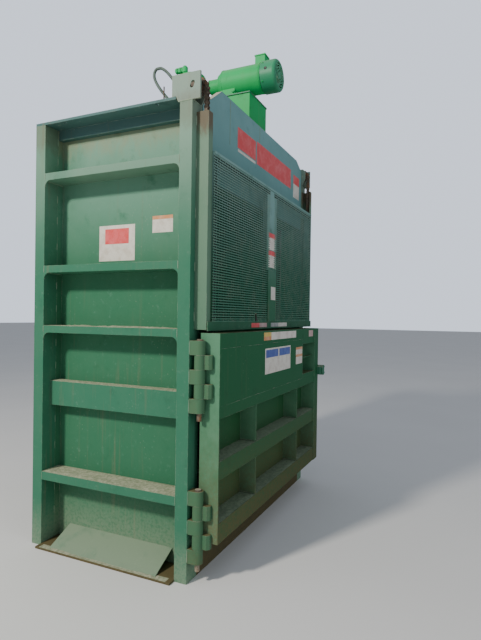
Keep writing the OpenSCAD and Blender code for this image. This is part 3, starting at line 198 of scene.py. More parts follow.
class Graph:
    """Adds and links nodes in one shader tree."""

    def __init__(self, tree: bpy.types.NodeTree) -> None:
        """Starts on an empty tree.

        Args:
            tree: The tree of a material or of a node group.
        """
        self.tree = tree
        self.tree.nodes.clear()

    def add(self, kind: str, **values: object) -> bpy.types.Node:
        """Adds a node.

        Args:
            kind: The node's Blender type name.
            values: Attributes to set, or inputs, where the name is that of a socket with
                its spaces as underscores.

        Returns:
            The node.
        """
        node = self.tree.nodes.new(kind)
        for name, value in values.items():
            socket = name.replace("_", " ")
            if hasattr(node, name):
                setattr(node, name, value)
            elif isinstance(value, bpy.types.NodeSocket):
                self.tree.links.new(value, node.inputs[socket])
            else:
                node.inputs[socket].default_value = value
        return node

    def link(self, output: bpy.types.NodeSocket, target: bpy.types.NodeSocket) -> None:
        """Links two sockets."""
        self.tree.links.new(output, target)

    def put(self, target: bpy.types.NodeSocket, value: object) -> None:
        """Links a socket or sets its value, whichever fits.

        Args:
            target: The input.
            value: A socket, or what the input is set to.
        """
        if isinstance(value, bpy.types.NodeSocket):
            self.link(value, target)
        else:
            target.default_value = value

    def place(self) -> bpy.types.NodeSocket:
        """Place of the shaded point in the frame."""
        return self.add("ShaderNodeTexCoord").outputs["Object"]

    def times(self, first: object, *others: object, clamp: bool = False
              ) -> bpy.types.NodeSocket:
        """Multiplies values, one after the other.

        Args:
            first: A socket or a number.
            others: The factors, sockets or numbers.
            clamp: Whether the result is kept between 0 and 1.

        Returns:
            The product.
        """
        product = first
        for number, other in enumerate(others, 1):
            product = self.math("MULTIPLY", product, other, clamp and number == len(others))
        return product

    def math(self, operation: str, first: object, second: object = 0.0,
             clamp: bool = False) -> bpy.types.NodeSocket:
        """Adds a Math node.

        Args:
            operation: The operation's Blender name.
            first: A socket or a number.
            second: A socket or a number.
            clamp: Whether the result is kept between 0 and 1.

        Returns:
            The result.
        """
        node = self.add("ShaderNodeMath", operation=operation, use_clamp=clamp)
        self.put(node.inputs[0], first)
        self.put(node.inputs[1], second)
        return node.outputs[0]

    def span(self, value: object, low: object, high: object, to_low: float = 0.0,
             to_high: float = 1.0) -> bpy.types.NodeSocket:
        """Maps a value's range smoothly to another one, and keeps it in there.

        Args:
            value: A socket.
            low: Value that gives to_low.
            high: Value that gives to_high.
            to_low: Result at low.
            to_high: Result at high.

        Returns:
            The result.
        """
        node = self.add("ShaderNodeMapRange", interpolation_type="SMOOTHSTEP")
        for socket, given in zip(node.inputs, (value, low, high, to_low, to_high)):
            self.put(socket, given)
        return node.outputs[0]

    def mix(self, share: object, first: object, second: object) -> bpy.types.NodeSocket:
        """Mixes two colours.

        Args:
            share: How much of the second one, a socket or a number.
            first: A colour or a socket.
            second: A colour or a socket.

        Returns:
            The mixed colour.
        """
        node = self.add("ShaderNodeMix", data_type="RGBA", blend_type="MIX")
        self.put(node.inputs[0], share)
        self.put(node.inputs[6], first)
        self.put(node.inputs[7], second)
        return node.outputs[2]

    def noise(self, place: bpy.types.NodeSocket, scale: float, detail: float, rough: float,
              bend: float = 0.0) -> bpy.types.NodeSocket:
        """Adds a noise texture.

        Args:
            place: Where it is read.
            scale: How fine it is.
            detail: How many finer layers it has.
            rough: How strong each finer layer is.
            bend: How far it is warped.

        Returns:
            Its value, from 0 to 1.
        """
        node = self.add("ShaderNodeTexNoise", Vector=place, Scale=scale, Detail=detail,
                        Roughness=rough, Distortion=bend)
        return node.outputs[0]

    def stretched(self, place: bpy.types.NodeSocket, scale: Point) -> bpy.types.NodeSocket:
        """Place scaled along each axis."""
        node = self.add("ShaderNodeMapping", Vector=place, Scale=scale)
        return node.outputs[0]


class Effect:
    """A shader node group that several finishes share.

    Attributes:
        title: Its name.
        colours: Names of its colour inputs.
        values: Names of its number inputs, which come after them.
        outputs: Name and kind of each output.
    """

    title: str = ""
    colours: tuple[str, ...] = ()
    values: tuple[str, ...] = ()
    outputs: dict[str, str] = {"Color": "Color", "Mask": "Float"}

    def __init__(self) -> None:
        """Makes the group with its sockets and fills it."""
        self.tree = bpy.data.node_groups.new(self.title, "ShaderNodeTree")
        inputs = dict.fromkeys(self.colours, "Color") | dict.fromkeys(self.values, "Float")
        for side, sockets in (("INPUT", inputs), ("OUTPUT", self.outputs)):
            for name, kind in sockets.items():
                self.tree.interface.new_socket(name, in_out=side,
                                               socket_type=f"NodeSocket{kind}")
        self.graph = Graph(self.tree)
        source = self.graph.add("NodeGroupInput")
        self.target = self.graph.add("NodeGroupOutput")
        self.given = {socket.name: socket for socket in source.outputs if socket.name}
        self.place = self.graph.place()
        self.fill()

    def fill(self) -> None:
        """Builds what is inside the group."""
        raise NotImplementedError

    def height(self) -> bpy.types.NodeSocket:
        """Height of the shaded point above the ground."""
        return self.graph.add("ShaderNodeSeparateXYZ", Vector=self.place).outputs[2]

    def upward(self) -> bpy.types.NodeSocket:
        """How far the shaded face looks up, from -1 to 1."""
        normal = self.graph.add("ShaderNodeNewGeometry").outputs["Normal"]
        return self.graph.add("ShaderNodeSeparateXYZ", Vector=normal).outputs[2]

    def cover(self, mask: bpy.types.NodeSocket, over: str) -> None:
        """Puts out a mask, and the given colour with another one laid over it there.

        Args:
            mask: Where the other colour lies.
            over: Name of the other colour's input.
        """
        mixed = self.graph.mix(mask, self.given["Color"], self.given[over])
        self.graph.link(mixed, self.target.inputs["Color"])
        self.graph.link(mask, self.target.inputs["Mask"])


class PaintTone(Effect):
    """Paint that grows paler towards the top, in patches, with small cloudy variation."""

    title = "Paint Tone"
    colours = ("Base", "Faded", "Deep")
    values = ("Low", "High")
    outputs = {"Color": "Color"}

    def fill(self) -> None:
        """Makes the base paler towards the top, then adds darker clouds and paler specks."""
        graph, given = self.graph, self.given
        rise = graph.span(self.height(), given["Low"], given["High"])
        patch = graph.noise(self.place, scale=1.7, detail=4, rough=0.6, bend=0.4)
        cloud = graph.noise(self.place, scale=9.0, detail=5, rough=0.62)
        speck = graph.noise(self.place, scale=26.0, detail=4, rough=0.7)
        pastel = graph.times(rise, graph.span(patch, 0.25, 0.6, to_low=0.55))
        colour = graph.mix(pastel, given["Base"], given["Faded"])
        colour = graph.mix(graph.span(cloud, 0.56, 0.78, to_high=0.55), colour, given["Deep"])
        colour = graph.mix(graph.span(speck, 0.57, 0.8, to_high=0.3), colour, given["Faded"])
        graph.link(colour, self.target.inputs["Color"])


class RunMarks(Effect):
    """Marks of water and rust that run down upright faces."""

    title = "Run Marks"
    colours = ("Color", "Mark")
    values = ("Amount",)

    def fill(self) -> None:
        """Lays long thin streaks in some places, and none on level faces."""
        graph = self.graph
        streaks = graph.noise(graph.stretched(self.place, (1.0, 1.0, 0.045)), scale=34.0,
                              detail=3, rough=0.55)
        region = graph.noise(graph.stretched(self.place, (1.0, 1.0, 0.4)), scale=3.1,
                             detail=3, rough=0.6)
        level = graph.math("ABSOLUTE", self.upward())
        mask = graph.times(graph.span(streaks, 0.53, 0.7), graph.span(region, 0.42, 0.66),
                           graph.span(level, 0.35, 0.6, to_low=1.0, to_high=0.0),
                           self.given["Amount"], clamp=True)
        self.cover(mask, "Mark")


class BandGrime(Effect):
    """Rusty or oily grime that grows from one height to another."""

    title = "Band Grime"
    colours = ("Color", "Grime")
    values = ("Amount", "Low", "High")

    def fill(self) -> None:
        """Grows the grime along the height, with a broken edge."""
        graph, given = self.graph, self.given
        rise = graph.span(self.height(), given["Low"], given["High"])
        broken = graph.noise(graph.stretched(self.place, (1.0, 1.0, 0.45)), scale=22.0,
                             detail=6, rough=0.7, bend=0.6)
        edge = graph.math("ADD", graph.times(rise, 0.62), graph.times(broken, 0.5))
        mask = graph.times(graph.span(edge, 0.5, 0.78), given["Amount"], clamp=True)
        self.cover(mask, "Grime")


class EdgeWear(Effect):
    """Edges rubbed pale, and normals that round every edge a little."""

    title = "Edge Wear"
    colours = ("Color", "Worn")
    values = ("Radius", "Amount")
    outputs = {"Color": "Color", "Mask": "Float", "Normal": "Vector"}

    def fill(self) -> None:
        """Finds edges where the rounded normal leaves the flat one, and breaks them up."""
        graph, given = self.graph, self.given
        soft = graph.add("ShaderNodeBevel", samples=6, Radius=given["Radius"]).outputs[0]
        sharp = graph.add("ShaderNodeNewGeometry").outputs["Normal"]
        same = graph.add("ShaderNodeVectorMath", operation="DOT_PRODUCT")
        graph.link(soft, same.inputs[0])
        graph.link(sharp, same.inputs[1])
        rub = graph.noise(self.place, scale=14.0, detail=5, rough=0.68)
        mask = graph.times(graph.span(same.outputs["Value"], 0.985, 0.9),
                           graph.span(rub, 0.4, 0.62), given["Amount"], clamp=True)
        self.cover(mask, "Worn")
        graph.link(soft, self.target.inputs["Normal"])


class SettledDust(Effect):
    """Dust on faces that look up, a thin film elsewhere and dirt splashed near the ground."""

    title = "Settled Dust"
    colours = ("Color", "Dust")
    values = ("Top", "Film", "Splash", "Splash Height")

    def fill(self) -> None:
        """Takes the strongest of the three kinds at each place."""
        graph, given = self.graph, self.given
        patch = graph.noise(self.place, scale=7.0, detail=6, rough=0.66, bend=0.3)
        fine = graph.noise(self.place, scale=60.0, detail=4, rough=0.7)
        top = graph.times(graph.span(self.upward(), 0.3, 0.85),
                          graph.span(patch, 0.2, 0.5, to_low=0.55), given["Top"])
        film = graph.times(graph.span(patch, 0.3, 0.75, to_low=0.45), given["Film"],
                           graph.span(fine, 0.25, 0.7, to_low=0.7))
        near = graph.span(self.height(), 0.0, given["Splash Height"], to_low=1.0, to_high=0.0)
        splash = graph.times(near, near, given["Splash"],
                             graph.span(fine, 0.3, 0.6, to_low=0.45))
        mask = graph.math("MAXIMUM", graph.math("MAXIMUM", top, film), splash, clamp=True)
        self.cover(mask, "Dust")


class SkinRelief(Effect):
    """Orange peel of brushed paint, shallow dents and the lift of dust."""

    title = "Skin Relief"
    values = ("Peel", "Dents", "Dust")
    outputs = {"Height": "Float"}

    def fill(self) -> None:
        """Adds up the three heights."""
        graph, given = self.graph, self.given
        peel = graph.noise(self.place, scale=240.0, detail=2, rough=0.5)
        dents = graph.noise(self.place, scale=5.5, detail=2, rough=0.4)
        grit = graph.noise(self.place, scale=420.0, detail=2, rough=0.6)
        total = graph.math("ADD", graph.times(peel, given["Peel"]),
                           graph.times(dents, given["Dents"]))
        total = graph.math("ADD", total, graph.times(grit, given["Dust"]))
        graph.link(total, self.target.inputs["Height"])


class SunFadeAndLight(Effect):
    """Paint paler where it faces the sunny left side: partly sun fading, partly painted
    sunlight.
    """

    title = "Sun Fade And Light"
    colours = ("Color", "Bleached")
    values = ("Amount",)
    outputs = {"Color": "Color"}

    def fill(self) -> None:
        """Pales faces that look to the left on the piece itself, in clouds: painted sunlight,
        with some sun fading.
        """
        graph, given = self.graph, self.given
        normal = graph.add("ShaderNodeTexCoord").outputs["Normal"]
        face = graph.add("ShaderNodeSeparateXYZ", Vector=normal)
        cloud = graph.noise(self.place, scale=5.0, detail=5, rough=0.65)
        share = graph.times(graph.span(face.outputs[0], -0.5, -0.9),
                            graph.span(cloud, 0.3, 0.6, to_low=0.6), given["Amount"])
        graph.link(graph.mix(share, given["Color"], given["Bleached"]),
                   self.target.inputs["Color"])


class Chips(Effect):
    """Small chips and spots scattered in clusters."""

    title = "Chips"
    colours = ("Color", "Chip")
    values = ("Amount", "Size")

    def fill(self) -> None:
        """Keeps the middles of some cells, where a slow noise is high."""
        graph, given = self.graph, self.given
        cells = graph.add("ShaderNodeTexVoronoi", Vector=self.place, Scale=given["Size"],
                          Randomness=1.0)
        lot = graph.add("ShaderNodeSeparateXYZ", Vector=cells.outputs["Color"]).outputs[0]
        cluster = graph.noise(self.place, scale=2.6, detail=3, rough=0.6)
        mask = graph.times(graph.span(cells.outputs["Distance"], 0.1, 0.2, to_low=1.0,
                                      to_high=0.0),
                           graph.span(lot, 0.55, 0.6), graph.span(cluster, 0.46, 0.62),
                           given["Amount"], clamp=True)
        self.cover(mask, "Chip")


class Effects:
    """The node groups that the finishes share. Each is built once."""

    def __init__(self) -> None:
        """Builds every group."""
        self.tone = PaintTone().tree
        self.runs = RunMarks().tree
        self.grime = BandGrime().tree
        self.wear = EdgeWear().tree
        self.dust = SettledDust().tree
        self.relief = SkinRelief().tree
        self.sun_pale = SunFadeAndLight().tree
        self.flecks = Chips().tree


class Surface:
    """A material being built round one Principled shader."""

    def __init__(self, name: str) -> None:
        """Starts a material.

        Args:
            name: The material's name.
        """
        self.material = bpy.data.materials.new(name)
        self.material.use_nodes = True
        self.graph = Graph(self.material.node_tree)
        self.shader = self.graph.add("ShaderNodeBsdfPrincipled")
        output = self.graph.add("ShaderNodeOutputMaterial")
        self.graph.link(self.shader.outputs[0], output.inputs[0])

    def group(self, tree: bpy.types.NodeTree, **values: object) -> bpy.types.Node:
        """Places a shared effect with its own values.

        Args:
            tree: The effect's group.
            values: Its inputs, a socket or a value each, with spaces as underscores.

        Returns:
            The group's node.
        """
        node = self.graph.tree.nodes.new("ShaderNodeGroup")
        node.node_tree = tree
        for name, value in values.items():
            self.graph.put(node.inputs[name.replace("_", " ")], value)
        return node

    def set(self, **values: object) -> None:
        """Sets or links inputs of the shader.

        Args:
            values: The inputs, a socket or a value each, with spaces as underscores.
        """
        for name, value in values.items():
            self.graph.put(self.shader.inputs[name.replace("_", " ")], value)

    def bump(self, height: bpy.types.NodeSocket, depth: float,
             normal: bpy.types.NodeSocket | None = None) -> None:
        """Raises the surface by a height.

        Args:
            height: The height, from 0 to about 1.
            depth: What a height of 1 is, in metres.
            normal: The normal it works on.
        """
        node = self.graph.add("ShaderNodeBump", Strength=1.0, Distance=depth, Height=height)
        if normal is not None:
            self.graph.link(normal, node.inputs["Normal"])
        self.graph.link(node.outputs[0], self.shader.inputs["Normal"])


DUST = (186, 180, 156)
RUST = (112, 74, 50)


@dataclass(frozen=True)
class Paint:
    """Weathered paint on steel, with its colours as seen on a screen."""

    name: str
    base: Shade
    pastel: Shade
    deep: Shade
    pale_low: float = 0.3
    pale_high: float = 2.6
    worn: Shade = (176, 182, 160)
    wear: float = 0.55
    edge: float = 0.003
    run_colour: Shade = (120, 112, 88)
    runs: float = 0.3
    grime_colour: Shade = (96, 72, 54)
    grime: float = 0.0
    grime_low: float = 2.2
    grime_high: float = 2.5
    chips: float = 0.5
    chip_colour: Shade = (190, 188, 168)
    chip_size: float = 38.0
    dust: Shade = DUST
    top_dust: float = 0.85
    film: float = 0.12
    splash: float = 0.7
    splash_height: float = 0.45
    sun_pale_colour: Shade = (120, 156, 124)
    sun_pale: float = 0.0
    gloss: float = 0.60
    dusty: float = 0.9
    specular: float = 0.18
    peel: float = 0.5
    dents: float = 2.2
    relief: float = 0.0006

    def build(self, effects: Effects) -> bpy.types.Material:
        """Builds the material.

        Args:
            effects: The shared node groups.

        Returns:
            The material.
        """
        made = Surface(self.name)
        tone = made.group(effects.tone, Base=rgba(self.base), Faded=rgba(self.pastel),
                          Deep=rgba(self.deep), Low=self.pale_low, High=self.pale_high)
        sun_pale = made.group(effects.sun_pale, Color=tone.outputs["Color"],
                            Bleached=rgba(self.sun_pale_colour), Amount=self.sun_pale)
        runs = made.group(effects.runs, Color=sun_pale.outputs["Color"],
                          Mark=rgba(self.run_colour), Amount=self.runs)
        grime = made.group(effects.grime, Color=runs.outputs["Color"],
                           Grime=rgba(self.grime_colour), Amount=self.grime,
                           Low=self.grime_low, High=self.grime_high)
        chips = made.group(effects.flecks, Color=grime.outputs["Color"],
                           Chip=rgba(self.chip_colour), Amount=self.chips,
                           Size=self.chip_size)
        wear = made.group(effects.wear, Color=chips.outputs["Color"], Worn=rgba(self.worn),
                          Radius=self.edge, Amount=self.wear)
        dust = made.group(effects.dust, Color=wear.outputs["Color"], Dust=rgba(self.dust),
                          Top=self.top_dust, Film=self.film, Splash=self.splash,
                          Splash_Height=self.splash_height)
        rough = made.graph.span(dust.outputs["Mask"], 0.0, 0.8, self.gloss, self.dusty)
        height = made.group(effects.relief, Peel=self.peel, Dents=self.dents,
                            Dust=dust.outputs["Mask"])
        made.set(Base_Color=dust.outputs["Color"], Roughness=rough,
                 Specular_IOR_Level=self.specular)
        made.bump(height.outputs["Height"], self.relief, wear.outputs["Normal"])
        return made.material


@dataclass(frozen=True)
class Metal:
    """Bare, worn or rusty metal."""

    name: str
    base: Shade
    dark: Shade
    rust: Shade = RUST
    rusting: float = 0.3
    metal: float = 0.9
    gloss: float = 0.35
    dull: float = 0.92
    grain: Point = (1.0, 1.0, 1.0)
    grain_size: float = 60.0
    wear: float = 0.6
    edge: float = 0.0015
    top_dust: float = 0.5
    film: float = 0.08
    splash: float = 0.5
    splash_height: float = 0.4
    relief: float = 0.0005

    def build(self, effects: Effects) -> bpy.types.Material:
        """Builds the material.

        Args:
            effects: The shared node groups.

        Returns:
            The material.
        """
        made = Surface(self.name)
        graph = made.graph
        place = graph.place()
        grain = graph.noise(graph.stretched(place, self.grain), self.grain_size, 4, 0.6)
        colour = graph.mix(graph.span(grain, 0.35, 0.7), rgba(self.dark), rgba(self.base))
        spots = graph.noise(place, scale=17.0, detail=6, rough=0.7, bend=0.5)
        rusted = graph.span(spots, 0.66 - 0.3 * self.rusting, 0.8 - 0.3 * self.rusting)
        rusted = graph.times(rusted, min(1.0, self.rusting * 2.5), clamp=True)
        speck = graph.noise(place, scale=90.0, detail=4, rough=0.7)
        fresh = (*(min(1.0, part * 2.1) for part in linear(self.rust)), 1.0)
        tint = graph.mix(graph.span(speck, 0.4, 0.65), rgba(self.rust), fresh)
        wear = made.group(effects.wear, Color=graph.mix(rusted, colour, tint),
                          Worn=rgba(self.base), Radius=self.edge, Amount=self.wear)
        dust = made.group(effects.dust, Color=wear.outputs["Color"], Dust=rgba(DUST),
                          Top=self.top_dust, Film=self.film, Splash=self.splash,
                          Splash_Height=self.splash_height)
        dulled = graph.math("MAXIMUM", rusted, dust.outputs["Mask"])
        made.set(Base_Color=dust.outputs["Color"],
                 Roughness=graph.span(dulled, 0.0, 0.8, self.gloss, self.dull),
                 Metallic=graph.span(dulled, 0.0, 0.7, self.metal, 0.0))
        height = made.group(effects.relief, Peel=0.6, Dents=0.4, Dust=dulled)
        made.bump(height.outputs["Height"], self.relief, wear.outputs["Normal"])
        return made.material


@dataclass(frozen=True)
class Moulded:
    """Rubber, plastic or a printed film: one colour with wear, dust and a fine grain."""

    name: str
    base: Shade
    second: Shade
    gloss: float = 0.5
    dusty: float = 0.9
    wear: float = 0.5
    edge: float = 0.001
    dust: float = 0.35
    film: float = 0.05
    grain: float = 300.0
    relief: float = 0.0003

    def build(self, effects: Effects) -> bpy.types.Material:
        """Builds the material.

        Args:
            effects: The shared node groups.

        Returns:
            The material.
        """
        made = Surface(self.name)
        graph = made.graph
        place = graph.place()
        cloud = graph.noise(place, scale=21.0, detail=5, rough=0.65)
        colour = graph.mix(graph.span(cloud, 0.4, 0.68), rgba(self.base), rgba(self.second))
        wear = made.group(effects.wear, Color=colour, Worn=rgba(self.second),
                          Radius=self.edge, Amount=self.wear)
        dust = made.group(effects.dust, Color=wear.outputs["Color"], Dust=rgba(DUST),
                          Top=self.dust, Film=self.film, Splash=0.0, Splash_Height=0.4)
        fine = graph.noise(place, self.grain, detail=2, rough=0.5)
        rough = graph.span(dust.outputs["Mask"], 0.0, 0.8, self.gloss, self.dusty)
        made.set(Base_Color=dust.outputs["Color"], Roughness=rough)
        made.bump(fine, self.relief, wear.outputs["Normal"])
        return made.material


@dataclass(frozen=True)
class Earth:
    """Dry dirt and sand that has gathered on ledges."""

    name: str
    light: Shade
    dark: Shade
    relief: float = 0.002

    def build(self) -> bpy.types.Material:
        """Builds the material, which needs none of the shared groups.

        Returns:
            The material.
        """
        made = Surface(self.name)
        graph = made.graph
        place = graph.place()
        clods = graph.noise(place, scale=55.0, detail=6, rough=0.7, bend=0.3)
        grains = graph.noise(place, scale=600.0, detail=3, rough=0.7)
        colour = graph.mix(graph.span(clods, 0.35, 0.68), rgba(self.dark), rgba(self.light))
        colour = graph.mix(graph.span(grains, 0.55, 0.75, to_high=0.6), colour,
                           rgba(self.dark))
        made.set(Base_Color=colour, Roughness=graph.span(clods, 0.2, 0.8, to_low=0.85))
        made.bump(graph.math("ADD", clods, graph.times(grains, 0.4)), self.relief)
        return made.material


class Tint(Enum):
    """Plain colours of the bare label fields."""

    WHITE = "white"
    RED = "red"
    ORANGE = "orange"
    BLUE = "blue"
    YELLOW = "yellow"
    PINK = "pink"
    GREY = "grey"


class Palette:
    """Every finish of the machine, built once."""

    def __init__(self) -> None:
        """Builds the shared effects and then the finishes."""
        effects = Effects()
        brown, pale = (104, 92, 62), (160, 168, 142)
        self.posts = Paint("post_paint", (48, 112, 85), (128, 160, 140), (32, 94, 70),
                           pale_low=1.6, pale_high=2.6, wear=0.6, film=0.06, top_dust=0.6,
                           grime=0.35, chips=0.12, splash=0.45, dust=pale).build(effects)
        self.sheets = Paint("sheet_paint", (46, 110, 79), (108, 154, 132), (26, 98, 66),
                            pale_low=1.5, pale_high=2.4, film=0.06, runs=0.3, chips=0.1,
                            grime=0.35, grime_low=2.05, grime_high=2.62,
                            grime_colour=(160, 128, 92), splash=0.5, splash_height=0.6,
                            dust=pale).build(effects)
        self.frame = Paint("frame_paint", (22, 80, 54), (40, 98, 72), (14, 60, 40),
                           film=0.04).build(effects)
        self.floor = Paint("chamber_floor_paint", (58, 62, 42), (74, 74, 52), (44, 50, 34),
                           film=0.3, dust=brown, splash=0.8, splash_height=0.3).build(effects)
        # Roof paint: a darker blue-grey copy of the green, as painted shade and sky reflection
        # on the underside seen from below
        self.roof = Paint("roof_underside_shade_paint", (52, 92, 88), (70, 108, 106), (40, 74, 72),
                          film=0.05).build(effects)
        self.gate = Paint("gate_paint", (38, 98, 68), (126, 166, 160), (24, 72, 50),
                          pale_low=1.5, pale_high=2.15, film=0.04, chips=0.3).build(effects)
        self.mesh = Paint("mesh_paint", (64, 124, 98), (122, 158, 146), (46, 104, 80),
                          pale_low=1.5, pale_high=2.25, film=0.04, chips=0.0,
                          runs=0.0).build(effects)
        # Panel paint: the body's green tinted blue-grey, as painted reflection of the sky on
        # the shaded panel
        self.panel = Paint("panel_paint", (76, 132, 128), (118, 164, 164), (62, 116, 112),
                           pale_low=1.9, pale_high=2.7, film=0.06, runs=0.12,
                           chips=0.3).build(effects)
        # The door's faces that look left are painted paler: painted sunlight, with some sun
        # fading
        self.door = Paint("door_paint", (20, 90, 52), (36, 102, 66), (12, 72, 40), film=0.02,
                          runs=0.08, dust=brown, top_dust=0.6, splash=0.9,
                          splash_height=1.3, sun_pale=0.7, chips=0.1,
                          sun_pale_colour=(102, 152, 120)).build(effects)
        self.hinge = Paint("hinge_paint", (62, 112, 82), (78, 122, 92), (50, 84, 62),
                           film=0.3, dust=brown, wear=0.8, runs=0.4).build(effects)
        self.bracket = Paint("bracket_paint", (108, 138, 122), (132, 154, 140),
                             (94, 118, 106), wear=0.8, worn=(190, 182, 138), film=0.08,
                             grime=0.25, grime_low=2.66, grime_high=2.45).build(effects)
        self.guides = Paint("guide_paint", (62, 114, 86), (106, 136, 114), (50, 92, 68),
                            wear=0.8, film=0.05, grime=0.8, grime_low=2.15,
                            grime_high=2.48).build(effects)
        self.unit = Paint("unit_paint", (16, 152, 72), (40, 184, 104), (12, 120, 56),
                          pale_low=2.4, pale_high=3.3, wear=0.25, worn=(150, 190, 140),
                          film=0.0, top_dust=0.2, runs=0.1, gloss=0.5, specular=0.15,
                          chips=0.1).build(effects)
        # Fan cover paint: its own green, paler from 2.9 to 3.2 m as painted light on the
        # cover's lit top over a shaded underside
        self.fan = Paint("fan_cover_painted_light_paint", (36, 126, 88), (64, 156, 110), (26, 106, 80),
                         pale_low=2.9, pale_high=3.2, wear=0.4, worn=(206, 206, 150),
                         film=0.0, top_dust=0.15, runs=0.1, gloss=0.45, specular=0.28,
                         chips=0.9, chip_size=17.0, chip_colour=(214, 216, 170)).build(effects)
        self.black = Paint("black_paint", (26, 27, 28), (52, 53, 52), (16, 16, 17),
                           worn=(120, 116, 108), chips=0.2).build(effects)
        # Painted shade: a dark paint for the strips that stand for the mesh's shadow on the
        # gate frame
        self.shade = Paint("mesh_painted_shade_paint", (16, 34, 27), (28, 46, 40), (10, 24, 19),
                           film=0.0, wear=0.0, runs=0.0, chips=0.0, top_dust=0.0,
                           splash=0.0, specular=0.1).build(effects)
        self.steel = Metal("bare_steel", (150, 148, 142), (92, 88, 82),
                           grain=(1.0, 1.0, 0.08), rusting=0.35).build(effects)
        self.chrome = Metal("ram_chrome", (214, 216, 218), (178, 180, 184), rusting=0.0,
                            gloss=0.12, grain=(1.0, 1.0, 0.03), film=0.02,
                            top_dust=0.1).build(effects)
        self.rusty = Metal("rusty_chain", (112, 98, 82), (74, 62, 52), rust=(98, 68, 46),
                           rusting=0.6, metal=0.2, gloss=0.75).build(effects)
        self.casting = Metal("cast_weight", (84, 72, 62), (54, 46, 40), rusting=0.8,
                             metal=0.3, gloss=0.75, grain_size=140.0).build(effects)
        self.weld = Paint("weld_paint", (92, 132, 106), (140, 162, 138), (58, 92, 72),
                          wear=0.5, chips=0.6, chip_colour=RUST, edge=0.0012).build(effects)
        self.door_weld = Paint("door_weld_paint", (24, 80, 54), (46, 98, 72), (14, 60, 40),
                               wear=0.1, film=0.0, edge=0.0012).build(effects)
        self.rubber = Moulded("hose_rubber", (58, 78, 70), (88, 108, 98), gloss=0.55,
                              grain=500.0, relief=0.0006).build(effects)
        self.plastic = Moulded("black_plastic", (24, 24, 25), (44, 44, 44)).build(effects)
        self.green_cap = Moulded("green_button", (30, 128, 60), (48, 150, 78),
                                 gloss=0.25).build(effects)
        self.red_cap = Moulded("red_button", (160, 24, 20), (184, 46, 38),
                               gloss=0.25).build(effects)
        self.dirt = Earth("ledge_dirt_paint", (186, 184, 156), (134, 142, 112)).build()
        self.door_dirt = Earth("door_dirt_paint", (132, 146, 118), (104, 120, 96)).build()
        tints = {
            Tint.WHITE: ((226, 220, 208), (206, 196, 182)),
            Tint.RED: ((222, 48, 54), (230, 92, 96)),
            Tint.ORANGE: ((208, 132, 74), (214, 160, 118)),
            Tint.BLUE: ((30, 66, 156), (70, 104, 176)),
            Tint.YELLOW: ((214, 176, 66), (216, 190, 112)),
            Tint.PINK: ((190, 150, 146), (200, 172, 166)),
            Tint.GREY: ((150, 152, 150), (176, 176, 170)),
        }
        self.films = {
            tint: Moulded(f"label_{tint.value}", *pair, gloss=0.45, dust=0.3, film=0.12,
                          grain=160.0, relief=0.0001, edge=0.0006).build(effects)
            for tint, pair in tints.items()
        }


